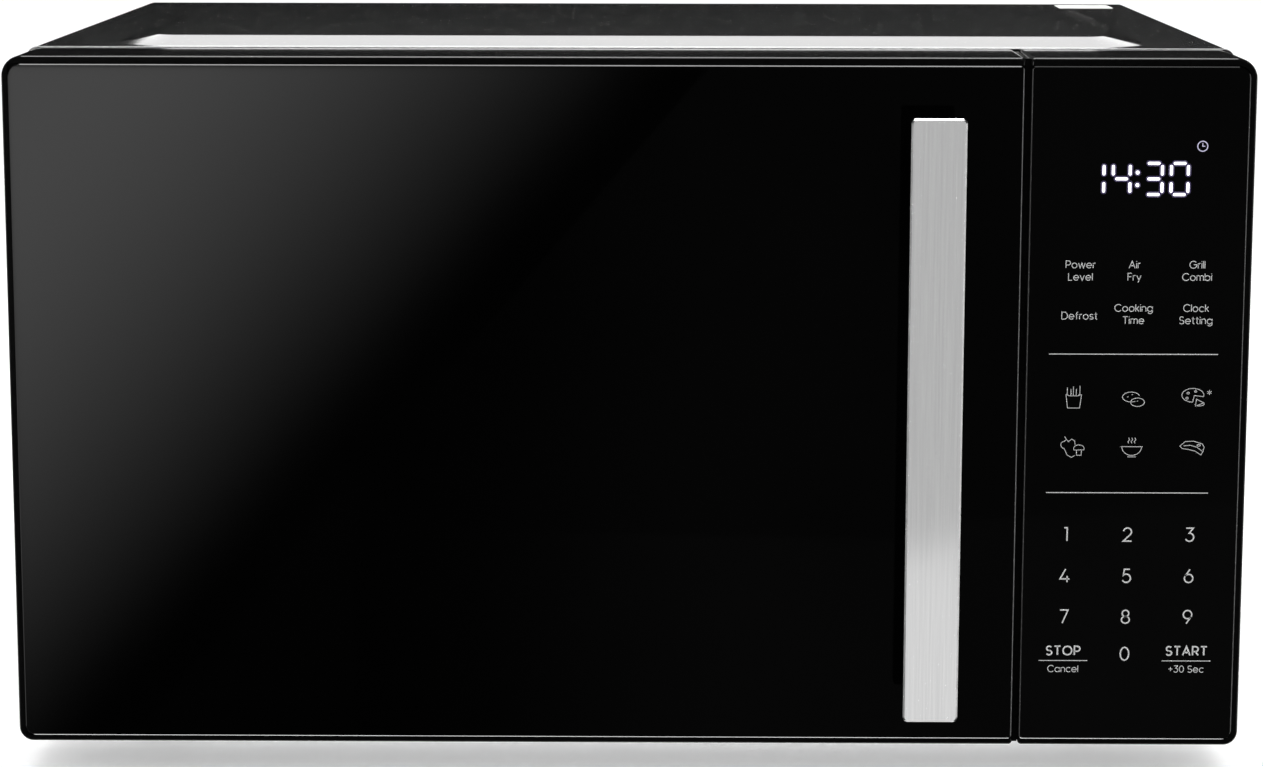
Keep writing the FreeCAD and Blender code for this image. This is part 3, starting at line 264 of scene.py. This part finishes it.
# How far a chamfer's normal leans sideways, or down, to count as an upright or a lower edge.
SIDEWAYS, GLASS_DOWN, BAR_DOWN = 0.65, 0.2, 0.3
# A face whose normal points at the viewer by more than this is the frames' flat front lip.
FLAT_FRONT = 0.99


def is_chamfer(normal):
    return CHAMFER_LEAN[0] < abs(normal.y) < CHAMFER_LEAN[1]


def finish_faces(name, *face_materials):
    """Gives some faces of a node their own materials, copies carrying painted highlights and shade.

    finishes are pairs of a material and a test of a face's normal, and the first that fits counts.
    """
    mesh = frame["nodes"][name].data
    for material, _ in face_materials:
        mesh.materials.append(material)
    for face in mesh.polygons:
        for slot, (_, fits) in enumerate(face_materials, 1):
            if fits(face.normal):
                face.material_index = slot
                break


def dress_nodes():
    """Gives each CAD node its slot's material; some edges and the lip get painted highlights and
    shade.
    """
    for row in frame["record"]["subparts"]:
        node = frame["nodes"][row["node"]]
        node.data.materials.clear()
        node.data.materials.append(MATERIALS[row["material_slot"]])
    frame["nodes"]["inner_pane"].data.materials[0] = INNER_GLASS
    # Painted highlights on the glass's chamfers: grey ones sideways, stronger reflection on the rest.
    finish_faces("door_glass",
                 (EDGE_HIGHLIGHT, lambda normal: is_chamfer(normal) and normal.x > SIDEWAYS),
                 (LOW_GLASS_EDGE, lambda normal: is_chamfer(normal) and normal.z < -GLASS_DOWN),
                 (GLASS_EDGE, is_chamfer))
    finish_faces("control_glass",
                 (DIM_EDGE_HIGHLIGHT, lambda normal: is_chamfer(normal) and abs(normal.x) > SIDEWAYS),
                 (LOW_GLASS_EDGE, lambda normal: is_chamfer(normal) and normal.z < -GLASS_DOWN))
    # The bar's bevels in darker metal, darkest below: painted shade.
    finish_faces("handle_bar",
                 (LOW_BAR_SHADE, lambda normal: is_chamfer(normal) and normal.z < -BAR_DOWN),
                 (BAR_SHADE, is_chamfer))
    # The frames' flat front lip in painted shade, dark and barely reflecting.
    for name in ("door_frame", "control_frame"):
        finish_faces(name, (RIM_SHADE, lambda normal: normal.y < -FLAT_FRONT))


# ---------------------------------------------------------------- mesh helpers

def piece(name, mesh, material, body):
    """Adds a visible piece that rides on a body."""
    obj = bpy.data.objects.new(name, mesh)
    bpy.context.scene.collection.objects.link(obj)
    mesh.materials.append(material)
    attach(obj, body)


def solid_from(outlines, place, thick):
    """A mesh of flat outlines of x, z points, from y = place to that much nearer the viewer."""
    mesh = bpy.data.meshes.new("flat")
    build = bmesh.new()
    for outline in outlines:
        front = [build.verts.new((x, place - thick, z)) for x, z in outline]
        back = [build.verts.new((x, place, z)) for x, z in outline]
        build.faces.new(front)
        build.faces.new(back[::-1])
        count = len(outline)
        for i in range(count):
            j = (i + 1) % count
            build.faces.new((front[i], back[i], back[j], front[j]))
    bmesh.ops.recalc_face_normals(build, faces=build.faces)
    build.to_mesh(mesh)
    build.free()
    return mesh


# A corner's mitre grows no longer than one over this times the line's width.
MITRE_LIMIT = 0.35


def stroke(points, width, closed=False):
    """Quads that follow a line of x, z points, mitred at its corners."""
    count = len(points)
    sides = []
    for i in range(count):
        before = points[i - 1] if (i or closed) else points[i]
        after = points[(i + 1) % count] if (i < count - 1 or closed) else points[i]
        way_in = Vector((points[i][0] - before[0], points[i][1] - before[1]))
        way_out = Vector((after[0] - points[i][0], after[1] - points[i][1]))
        way_in = way_in.normalized() if way_in.length else way_out.normalized()
        way_out = way_out.normalized() if way_out.length else way_in
        both = way_in + way_out
        way = both.normalized() if both.length > 1e-6 else way_out
        across = Vector((-way.y, way.x)) * (width / 2 / max(MITRE_LIMIT, way.dot(way_out)))
        here = Vector(points[i])
        sides.append((here - across, here + across))
    spans = range(count if closed else count - 1)
    quads = []
    for i in spans:
        (a, b), (c, d) = sides[i], sides[(i + 1) % count]
        quads.append([tuple(a), tuple(c), tuple(d), tuple(b)])
    return quads


def arc(cx, cz, radius, start, end, steps=14, flat=1.0):
    """Points on an arc, in degrees; flat squeezes it upright."""
    angles = [math.radians(start + (end - start) * i / steps) for i in range(steps + 1)]
    return [(cx + radius * math.cos(a), cz + radius * flat * math.sin(a)) for a in angles]


# ---------------------------------------------------------------- edges of the front

def make_cabinet_edge():
    """The cabinet's folded front edge, a little proud of the plastic front; light grey: painted
    highlight.
    """
    low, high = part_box("outer_cabinet")
    side, top = high.x - 0.3 * MM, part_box("control_frame")[1].z + 0.15 * MM
    bend, thick, back = 4.5 * MM, 0.22 * MM, 0.25 * MM
    points = arc(-side + bend, top - bend, bend, 180, 90, 8)
    points += arc(side - bend, top - bend, bend, 90, 0, 8)
    curve = bpy.data.curves.new("edge", "CURVE")
    curve.dimensions, curve.bevel_depth, curve.bevel_resolution = "3D", thick, 3
    line = curve.splines.new("POLY")
    line.points.add(len(points) - 1)
    for point, (x, z) in zip(line.points, points):
        point.co = (x, low.y + back, z, 1)
    obj = bpy.data.objects.new("edge", curve)
    bpy.context.scene.collection.objects.link(obj)
    bpy.context.view_layer.update()
    shaped = obj.evaluated_get(bpy.context.evaluated_depsgraph_get())
    mesh = bpy.data.meshes.new_from_object(shaped)
    bpy.data.objects.remove(obj)
    mesh.materials.clear()
    piece("front_edge_highlight", mesh, CABINET_HIGHLIGHT, "chassis")


def make_seam_lip():
    """Near-black strip on the panel's frame closing the sight line between door and panel: painted
    shade.
    """
    low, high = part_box("control_frame")
    left, right = low.x - 2.0 * MM, low.x + 0.1 * MM
    foot, top = low.z + 0.05 * MM, high.z - 0.6 * MM
    back, deep = low.y + 9.2 * MM, 4.0 * MM
    strip = [(left, foot), (right, foot), (right, top), (left, top)]
    piece("seam_shade_strip", solid_from([strip], back, deep), SEAM_SHADE, "chassis")


# ---------------------------------------------------------------- control panel

PANEL_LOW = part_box("control_glass")[0]
PANEL_FACE = PANEL_LOW.y
INK_THICK = 0.03 * MM
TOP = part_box("control_frame")[1].z


def columns(*distances):
    """Places across the panel, that many millimetres from its glass's left edge."""
    return [PANEL_LOW.x + distance * MM for distance in distances]


WORD_COLUMNS = columns(21.4, 43.6, 69.3)
ICON_COLUMNS = columns(19.8, 44.3, 69.2)
DIGIT_COLUMNS = columns(17.8, 43.5, 69.4)
COLON_X, CLOCK_X = columns(43.8, 70.1)


def down(distance):
    """A height that many millimetres under the front's top edge."""
    return TOP - distance * MM


def bow(x, y, wide, tall, start, end):
    """Part of an oval, as a letter's stroke; wide and tall are its half sizes."""
    return arc(x, y, wide, start, end, 12, tall / wide)


SMALL, STEM = 0.70, 0.35
BOWL = bow(STEM, STEM, STEM, STEM, 0, 360)
S_HEAD, S_FOOT = bow(0.31, 0.745, 0.27, 0.255, 30, 262), bow(0.31, 0.25, 0.31, 0.25, 85, -152)
P_LINE = [(0, 0), (0, 1), (0.32, 1)] + bow(0.32, 0.71, 0.30, 0.29, 90, -90) + [(0, 0.42)]

# A thin round lettering: each sign's width and strokes, for capitals of height one.
SIGNS = {
    " ": (0.2, []),
    "0": (0.64, [bow(0.32, 0.5, 0.32, 0.5, 0, 360)]),
    "1": (0.24, [[(0, 1), (0.22, 1), (0.22, 0)]]),
    "2": (0.62, [bow(0.30, 0.70, 0.30, 0.30, 170, -38) + [(0, 0), (0.62, 0)]]),
    "3": (0.60, [[(0.02, 1), (0.54, 1), (0.26, 0.62)] + bow(0.28, 0.31, 0.31, 0.31, 85, -155)]),
    "4": (0.70, [[(0.40, 1), (0, 0.25), (0.70, 0.25)], [(0.52, 0.48), (0.52, 0)]]),
    "5": (0.60, [[(0.54, 1), (0.13, 1), (0.07, 0.55)] + bow(0.28, 0.32, 0.32, 0.32, 125, -150)]),
    "6": (0.64, [bow(0.32, 0.32, 0.32, 0.32, 0, 360), [(0.05, 0.48), (0.40, 1)]]),
    "7": (0.60, [[(0, 1), (0.60, 1), (0.18, 0)]]),
    "8": (0.60, [bow(0.30, 0.76, 0.25, 0.24, 0, 360), bow(0.30, 0.27, 0.30, 0.27, 0, 360)]),
    "9": (0.64, [bow(0.32, 0.68, 0.32, 0.32, 0, 360), [(0.59, 0.52), (0.24, 0)]]),
    "+": (0.60, [[(0, 0.5), (0.60, 0.5)], [(0.30, 0.2), (0.30, 0.8)]]),
    "A": (0.82, [[(0, 0), (0.41, 1), (0.82, 0)], [(0.14, 0.33), (0.68, 0.33)]]),
    "C": (0.88, [bow(0.5, 0.5, 0.5, 0.5, 42, 318)]),
    "D": (0.80, [[(0, 0), (0, 1), (0.32, 1)] + bow(0.32, 0.5, 0.48, 0.5, 90, -90) + [(0, 0)]]),
    "F": (0.52, [[(0.52, 1), (0, 1), (0, 0)], [(0, 0.52), (0.46, 0.52)]]),
    "G": (0.96, [bow(0.5, 0.5, 0.5, 0.5, 42, 360) + [(0.56, 0.5)]]),
    "L": (0.50, [[(0, 1), (0, 0), (0.50, 0)]]),
    "O": (1.00, [bow(0.5, 0.5, 0.5, 0.5, 0, 360)]),
    "P": (0.62, [P_LINE]),
    "R": (0.64, [P_LINE, [(0.32, 0.42), (0.64, 0)]]),
    "S": (0.62, [S_HEAD, S_FOOT]),
    "T": (0.68, [[(0, 1), (0.68, 1)], [(0.34, 1), (0.34, 0)]]),
    "a": (0.70, [BOWL, [(0.70, SMALL), (0.70, 0)]]),
    "b": (0.70, [BOWL, [(0, 1), (0, 0)]]),
    "c": (0.62, [bow(STEM, STEM, STEM, STEM, 45, 315)]),
    "e": (0.70, [[(0.02, STEM)] + bow(STEM, STEM, STEM, STEM, 0, 318)]),
    "f": (0.36, [bow(0.32, 0.83, 0.17, 0.17, 80, 180) + [(0.15, 0)], [(0, SMALL), (0.34, SMALL)]]),
    "g": (0.70, [BOWL, [(0.70, SMALL), (0.70, 0.02)] + bow(0.37, 0.02, 0.33, 0.31, 0, -145)]),
    "i": (0.00, [[(0, SMALL), (0, 0)], [(0, 0.90), (0, 1.0)]]),
    "k": (0.46, [[(0, 1), (0, 0)], [(0.43, SMALL), (0, 0.27)], [(0.15, 0.41), (0.46, 0)]]),
    "l": (0.00, [[(0, 1), (0, 0)]]),
    "m": (0.92, [[(0, SMALL), (0, 0)], bow(0.23, 0.47, 0.23, 0.23, 180, 0) + [(0.46, 0)],
                 bow(0.69, 0.47, 0.23, 0.23, 180, 0) + [(0.92, 0)]]),
    "n": (0.56, [[(0, SMALL), (0, 0)], bow(0.28, 0.42, 0.28, 0.28, 180, 0) + [(0.56, 0)]]),
    "o": (0.70, [BOWL]),
    "r": (0.30, [[(0, SMALL), (0, 0)], bow(0.27, 0.43, 0.27, 0.27, 180, 80)]),
    "s": (0.48, [bow(0.25, 0.52, 0.22, 0.18, 30, 262), bow(0.24, 0.17, 0.24, 0.17, 85, -152)]),
    "t": (0.36, [[(0.15, 0.95), (0.15, 0.18)] + bow(0.32, 0.18, 0.17, 0.17, 180, 280),
                 [(0, SMALL), (0.34, SMALL)]]),
    "v": (0.58, [[(0, SMALL), (0.29, 0), (0.58, SMALL)]]),
    "w": (0.92, [[(0, SMALL), (0.23, 0), (0.46, SMALL), (0.69, 0), (0.92, SMALL)]]),
    "y": (0.58, [[(0, SMALL), (0.30, 0.02)], [(0.58, SMALL), (0.18, -0.28)]]),
}


def text(line, x, z, tall, weight, gap=0.21):
    """Lettering about x, z as stroke quads.

    tall is a capital's height and weight the line's, in millimetres; gap is in heights.
    """
    width = sum(SIGNS[sign][0] for sign in line) + gap * (len(line) - 1)
    place = x / MM - width * tall / 2
    quads = []
    for sign in line:
        advance, strokes = SIGNS[sign]
        for points in strokes:
            path = [((place + px * tall) * MM, z + (py - 0.5) * tall * MM) for px, py in points]
            quads += stroke(path, weight * MM)
        place += (advance + gap) * tall
    return quads


def print_on_panel(name, quads):
    piece(name, solid_from(quads, PANEL_FACE, INK_THICK), LEGEND_INK, "chassis")


# Lettering sizes in millimetres, and the rules' weights.
LEGEND = {"tall": 2.95, "weight": 0.30}
KEY_DIGIT = {"tall": 5.6, "weight": 0.55}
KEY_TITLE = {"tall": 3.7, "weight": 0.60, "gap": 0.29}
KEY_UNDER = {"tall": 2.8, "weight": 0.28}
KEY_RULE, PANEL_RULE, ICON_LINE = 0.30, 0.35, 0.24

# Each function key's column and its lines, with how far each is under the front's top edge.
WORDS = {
    "power_level": (0, (("Power", 84.6), ("Level", 89.7))),
    "air_fry": (1, (("Air", 84.6), ("Fry", 89.7))),
    "grill_combi": (2, (("Grill", 84.6), ("Combi", 89.7))),
    "defrost": (0, (("Defrost", 105.9),)),
    "cooking_time": (1, (("Cooking", 102.6), ("Time", 107.7))),
    "clock_setting": (2, (("Clock", 102.6), ("Setting", 107.7))),
}
DIGIT_ROWS = (197.9, 215.5, 233.0, 248.9)
TITLE_ROW, KEY_RULE_ROW, UNDER_ROW = 247.6, 251.9, 255.4


def make_legends():
    """Key names, digits and rules printed on the panel glass."""
    for name, (column, lines) in WORDS.items():
        quads = []
        for line, drop in lines:
            quads += text(line, WORD_COLUMNS[column], down(drop), **LEGEND)
        print_on_panel(f"legend_{name}", quads)
    for digit in range(10):
        column, row = ((digit - 1) % 3, (digit - 1) // 3) if digit else (1, 3)
        x, z = DIGIT_COLUMNS[column], down(DIGIT_ROWS[row])
        print_on_panel(f"key_{digit}", text(str(digit), x, z, **KEY_DIGIT))
    for name, column, title, under in (("stop", 0, "STOP", "Cancel"),
                                       ("start", 2, "START", "+30 Sec")):
        x = DIGIT_COLUMNS[column]
        quads = text(title, x, down(TITLE_ROW), **KEY_TITLE)
        quads += text(under, x, down(UNDER_ROW), **KEY_UNDER)
        ends = [(x + side * MM, down(KEY_RULE_ROW)) for side in (-10.2, 10.2)]
        quads += stroke(ends, KEY_RULE * MM)
        print_on_panel(f"key_{name}", quads)
    for name, drop, right in (("upper", 121.9, 78.9), ("lower", 180.2, 76.4)):
        ends = [(x, down(drop)) for x in columns(9.2, right)]
        print_on_panel(f"rule_{name}", stroke(ends, PANEL_RULE * MM))


def ink(name, column, drop, open_lines, loops=()):
    """Prints one icon; its lines and loops are points in millimetres about the icon's middle."""
    x, z = ICON_COLUMNS[column], down(drop)
    quads = []
    for lines, closed in ((loops, True), (open_lines, False)):
        for points in lines:
            quads += stroke([(x + px * MM, z + pz * MM) for px, pz in points],
                            ICON_LINE * MM, closed)
    print_on_panel(f"icon_{name}", quads)


def make_food_icons():
    """Six plain line drawings of foods, of the usual generic kind."""
    upper, lower = 140.0, 160.9
    cup = [(-3.2, 1.0), (-1.6, 0.5), (1.6, 0.5), (3.2, 1.0), (2.5, -4.6), (-2.5, -4.6)]
    chips = ((-2.4, -0.3, 0.9, 4.0), (-1.3, 0.1, 0.6, 3.4), (-0.3, 0.1, 0.5, 4.4),
             (0.8, 0.2, 0.5, 3.4), (1.9, 0.6, 0.8, 4.7))
    sticks = [[(x, foot), (x + lean, foot + 0.3), (x + lean, top)] for x, lean, foot, top in chips]
    ink("chips", 0, upper - 0.1, sticks, [cup])

    spots = [[(x, z), (x + 0.5, z + 0.15)] for x, z in ((-2.4, 0.6), (-0.6, 1.5), (1.6, -1.2))]
    behind = bow(-0.8, 0.6, 3.6, 2.1, 15, 300)
    before = bow(1.9, -1.6, 2.9, 1.8, 0, 345)
    ink("potatoes", 1, upper + 0.4, [behind] + spots, [before])

    base = bow(-0.2, 1.0, 4.6, 2.9, -12, 270)
    notch = [(4.3, 0.4), (0.4, 0.9), (-0.2, -1.9)]
    cut_slice = [(1.3, -0.6), (4.4, -2.2), (1.0, -3.5)]
    crust = bow(2.6, -2.6, 2.0, 0.9, -165, 10)
    toppings = [bow(x, z, 0.5, tall, 0, 330)
                for x, z, tall in ((-2.2, 1.9, 0.4), (-2.6, -0.2, 0.4), (0.9, 2.6, 0.35))]
    ink("pizza", 2, upper, [base, notch, crust], [cut_slice] + toppings)

    leaves = [(-3.6, 2.2), (-2.6, 3.2), (-1.8, 2.2), (-0.4, 3.3), (0.8, 2.6), (1.0, 1.0)]
    stalk = [(-2.6, 3.2), (-3.4, 4.4)]
    pepper_side = bow(-3.0, 0.9, 1.9, 1.6, 110, 250)
    pepper_foot = [(-3.6, -0.5), (-2.2, -3.4), (-0.4, -4.4), (0.9, -3.6)]
    cap = bow(2.6, -0.7, 2.2, 1.6, -20, 200)
    brim = [(0.6, -1.3), (4.7, -1.2)]
    stem = [(1.6, -1.2), (1.7, -3.5), (3.6, -3.5), (3.7, -1.2)]
    ink("vegetables", 0, lower, [leaves, stalk, pepper_side, pepper_foot, cap, brim, stem])

    steam = [[(x, 1.6), (x - 0.35, 2.3), (x + 0.3, 3.1), (x - 0.05, 4.0)] for x in (-1.3, 0.0, 1.3)]
    bowl = bow(0, 0.2, 4.1, 3.7, 180, 360)
    rim = [(-4.6, 0.2), (4.6, 0.2)]
    base = [(-1.8, -4.1), (1.8, -4.1)]
    ink("soup", 1, lower, [bowl, rim, base] + steam)

    outline = [(-5.0, 0.5), (-2.9, 2.4), (0.6, 2.6), (4.2, 1.5), (5.1, 0.1), (4.6, -1.8),
               (3.8, -3.2), (1.4, -1.6), (-1.4, -0.9), (-4.0, -0.5)]
    grain = [(-3.4, 0.6), (-0.8, 0.9), (2.0, 0.1), (4.2, -1.6)]
    bone = bow(2.8, 0.9, 0.7, 0.4, 0, 330)
    ink("steak", 2, lower, [grain], [outline, bone])

    star_x, star_z = 6.6, 2.2
    turns = [(math.cos(turn), math.sin(turn)) for turn in map(math.radians, (90, 30, 150))]
    spark = [[(star_x - dx, star_z - dz), (star_x + dx, star_z + dz)] for dx, dz in turns]
    ink("pizza_mark", 2, upper, spark)


# The clock's signs: which of a digit's seven bars are lit, and each bar's side and level.
SEGMENTS = {"0": "abcdef", "1": "bc", "3": "abgcd", "4": "fgbc"}
BARS = {"a": (0, 2), "g": (0, 0), "d": (0, -2), "f": (-1, 1), "b": (1, 1), "e": (-1, -1),
        "c": (1, -1)}
# A digit's half width and height, its upright bars' middle height, and the bars' half lengths
# and width, in millimetres; the halo is that much wider all round.
HALF_WIDE, HALF_TALL, UPRIGHT_MIDDLE = 3.45, 6.4, 3.55
UPRIGHT_REACH, LEVEL_REACH, BAR, HALO = 1.55, 2.0, 1.2, 0.6
CLOCK_DIGITS = (("1", -17.2), ("4", -6.5), ("3", 6.65), ("0", 17.25))
DIGITS_DROP, CLOCK_DROP = 49.25, 35.8
COLON_DOT, COLON_REACH, COLON_HEIGHTS = 1.5, 0.05, (2.6, -2.55)


def pill(x, z, reach, upright, width):
    """A bar with round ends about x, z; reach is half the length of its middle line."""
    turn = 90 if upright else 0
    dx, dz = (0, reach) if upright else (reach, 0)
    ends = arc(x + dx, z + dz, width / 2, turn - 90, turn + 90, 8)
    ends += arc(x - dx, z - dz, width / 2, turn + 90, turn + 270, 8)
    return [(px * MM, pz * MM) for px, pz in ends]


def light_up(name, shapes):
    """Adds a lit sign and its halo; shapes(extra) gives outlines made that much wider all round."""
    piece(name, solid_from(shapes(0.0), PANEL_FACE, INK_THICK), DIGIT_LIGHT, "chassis")
    piece(f"{name}_halo", solid_from(shapes(HALO), PANEL_FACE, INK_THICK / 3), HALO_LIGHT,
          "chassis")


def lit_bars(digit, x, z, extra):
    """Outlines of a digit's lit bars about x, z."""
    shapes = []
    for name in SEGMENTS[digit]:
        side, level = BARS[name]
        height = level * (UPRIGHT_MIDDLE if side else HALF_TALL / 2)
        reach = UPRIGHT_REACH if side else LEVEL_REACH
        shapes.append(pill(x + side * HALF_WIDE, z + height, reach, bool(side), BAR + 2 * extra))
    return shapes


def make_display():
    """Clock digits of seven bars, a colon and a clock mark, lit behind the panel, with faint halos."""
    x, z = COLON_X / MM, down(DIGITS_DROP) / MM
    for number, (digit, shift) in enumerate(CLOCK_DIGITS):
        light_up(f"digit_{number}",
                 lambda extra, digit=digit, shift=shift: lit_bars(digit, x + shift, z, extra))
    light_up("colon", lambda extra: [pill(x, z + height, COLON_REACH, True, COLON_DOT + 2 * extra)
                                     for height in COLON_HEIGHTS])
    mark_x, mark_z = CLOCK_X, down(CLOCK_DROP)
    clock = stroke(arc(mark_x, mark_z, 2.05 * MM, 0, 345, 23), 0.42 * MM, True)
    hands = [(mark_x, mark_z + 1.25 * MM), (mark_x, mark_z), (mark_x + 1.0 * MM, mark_z)]
    clock += stroke(hands, 0.36 * MM)
    piece("clock_mark", solid_from(clock, PANEL_FACE, INK_THICK), MARK_LIGHT, "chassis")


# ---------------------------------------------------------------- studio

def stage_plane(name, corners, material, *rays):
    """A flat sheet of the studio, seen only by the kinds of ray that are named."""
    mesh = bpy.data.meshes.new(name)
    mesh.from_pydata(corners, [], [tuple(range(len(corners)))])
    mesh.materials.append(material)
    obj = bpy.data.objects.new(name, mesh)
    bpy.context.scene.collection.objects.link(obj)
    for ray in ("camera", "diffuse", "glossy", "transmission", "shadow"):
        setattr(obj, f"visible_{ray}", ray in rays)


def card(name, corners, strength, fade=None):
    """A glowing sheet that only reflections see.

    fade is (start, end) in metres on the card's own X and Z, and the card is dark beyond the end.
    """
    nodes = Nodes(name)
    nodes.tree.nodes.remove(nodes.shader)
    glow = nodes.add("ShaderNodeEmission", Strength=strength)
    if fade:
        (x0, z0), (x1, z1) = fade
        way = Vector((x1 - x0, 0, z1 - z0))
        coords = nodes.add("ShaderNodeTexCoord")
        shifted = nodes.add("ShaderNodeVectorMath", [(coords.outputs["Object"], 0)],
                            operation="SUBTRACT")
        shifted.inputs[1].default_value = (x0, 0, z0)
        along = nodes.add("ShaderNodeVectorMath", [(shifted.outputs[0], 0)],
                          operation="DOT_PRODUCT")
        along.inputs[1].default_value = way / way.length_squared
        ramp = nodes.add("ShaderNodeValToRGB", [(along.outputs["Value"], "Fac")])
        ramp.color_ramp.interpolation = "EASE"
        ramp.color_ramp.elements[0].color = (1, 1, 1, 1)
        ramp.color_ramp.elements[1].color = (0, 0, 0, 1)
        nodes.tree.links.new(ramp.outputs["Color"], glow.inputs["Color"])
    nodes.material.cycles.emission_sampling = "NONE"
    output = nodes.tree.nodes["Material Output"]
    nodes.tree.links.new(glow.outputs[0], output.inputs["Surface"])
    stage_plane(name, corners, nodes.material, "glossy")


def sheet(axis, place, across, along):
    """Corners of a rectangle square to an axis; across and along are its spans on the other two."""
    corners = []
    for u, v in ((0, 0), (1, 0), (1, 1), (0, 1)):
        corner = [across[u], along[v]]
        corner.insert("XYZ".index(axis), place)
        corners.append(tuple(corner))
    return corners


def area_light(name, place, target, wide, deep, power):
    """A softbox that reflections do not see."""
    light = bpy.data.lights.new(name, "AREA")
    light.shape, light.size, light.size_y, light.energy = "RECTANGLE", wide, deep, power
    obj = bpy.data.objects.new(name, light)
    obj.location = place
    obj.rotation_euler = (Vector(target) - Vector(place)).to_track_quat("-Z", "Y").to_euler()
    obj.visible_glossy = False
    bpy.context.scene.collection.objects.link(obj)


def make_world():
    """White surroundings that reflections see as nearly black."""
    world = bpy.data.worlds.new("studio")
    bpy.context.scene.world = world
    world.use_nodes = True
    tree = world.node_tree
    back = tree.nodes["Background"]
    rays = tree.nodes.new("ShaderNodeLightPath")
    mix = tree.nodes.new("ShaderNodeMix")
    mix.data_type = "RGBA"
    tree.links.new(rays.outputs["Is Glossy Ray"], mix.inputs["Factor"])
    mix.inputs["A"].default_value = (1, 1, 1, 1)
    mix.inputs["B"].default_value = (0.05, 0.05, 0.05, 1)
    tree.links.new(mix.outputs["Result"], back.inputs["Color"])
    back.inputs["Strength"].default_value = 1.3


def make_studio():
    """Pale floor, overhead softbox, and cards that only reflections see."""
    floor = surface("pale_floor", grey(0.60), grey(0.62), (0.6, 0.7), 3,
                    Emission_Color=(1, 1, 1, 1), Emission_Strength=0.4)
    reach = (-9.0, 9.0)
    stage_plane("floor", sheet("Z", 0, reach, reach), floor,
                "camera", "diffuse", "shadow", "transmission")
    area_light("overhead", (0.1, -0.2, 2.4), (0, 0, 0.2), 2.6, 2.0, 34)
    # seen in the door's upper left, fading to the right and down
    door_y, left, top = FRONT - 2.0, -0.636, 0.152
    card("door_card", [(left, door_y, -0.66), (0.06, door_y, top), (left, door_y, top)], 32.0,
         ((-0.605, 0.124), (-0.254, -0.183)))
    # seen in the handle: a soft card, brighter low down, with a slightly bent upper edge
    left, right, foot, low_top = -0.3, 1.0, -0.9, -0.315
    bends = ((left, 0), (0.25, -0.012), (0.28, -0.010), (0.32, 0.008), (right, 0.05))
    for name, y, top, strength in (("handle_card", FRONT - 2.02, 0.5, 0.56),
                                   ("handle_card_low", FRONT - 2.01, low_top, 0.82)):
        corners = [(right, y, foot), (left, y, foot)] + [(x, y, top + rise) for x, rise in bends]
        card(name, corners, strength, ((0.12, 0), (left, 0)))
    # seen in the slope of the cabinet's top, the front's top and the flat of the cabinet's top
    for name, side, span, strength, fade in (
            ("slope_card", 0.72, (0.78, 2.2), 2.3, None),
            ("fascia_card", 0.95, (0.486, 0.53), 0.03, ((4.0, 0), (-3.4, 0))),
            ("top_card", 0.95, (0.30, 0.486), 0.02, ((2.2, 0), (-1.4, 0)))):
        card(name, sheet("Y", 2.6, (-side, side), span), strength, fade)
    # seen in the rounded edges of the frame, the glass and the handle
    for name, x, strength in (("left_card", -1.7, 1.2), ("right_card", 1.7, 2.2)):
        card(name, sheet("X", x, (-1.3, 1.0), (-0.5, 0.3)), strength)
    card("edge_card", sheet("Z", 2.35, (-0.8, 0.8), (-1.0, 0.8)), 24.0)
    card("low_edge_card", sheet("Z", -1.6, (-0.8, 0.8), (-0.35, 0.9)), 6.0)
    make_world()


def make_camera():
    """A long lens a little above the oven and just right of its middle."""
    data = bpy.data.cameras.new("camera")
    data.lens = 97.76
    data.sensor_width = 36.0
    camera = bpy.data.objects.new("camera", data)
    camera.location = (0.0135, -1.58, 0.4025)
    pitch, yaw, roll = math.radians(9.48), math.radians(-0.493), math.radians(0.093)
    level = Matrix.Rotation(math.pi / 2 - pitch, 4, "X")
    turn = Matrix.Rotation(-yaw, 4, "Z") @ level @ Matrix.Rotation(roll, 4, "Z")
    camera.rotation_euler = turn.to_euler()
    bpy.context.scene.collection.objects.link(camera)
    bpy.context.scene.camera = camera


dress_nodes()
make_cabinet_edge()
make_seam_lip()
make_legends()
make_food_icons()
make_display()
make_studio()
make_camera()
bpy.context.scene.view_settings.view_transform = "Standard"
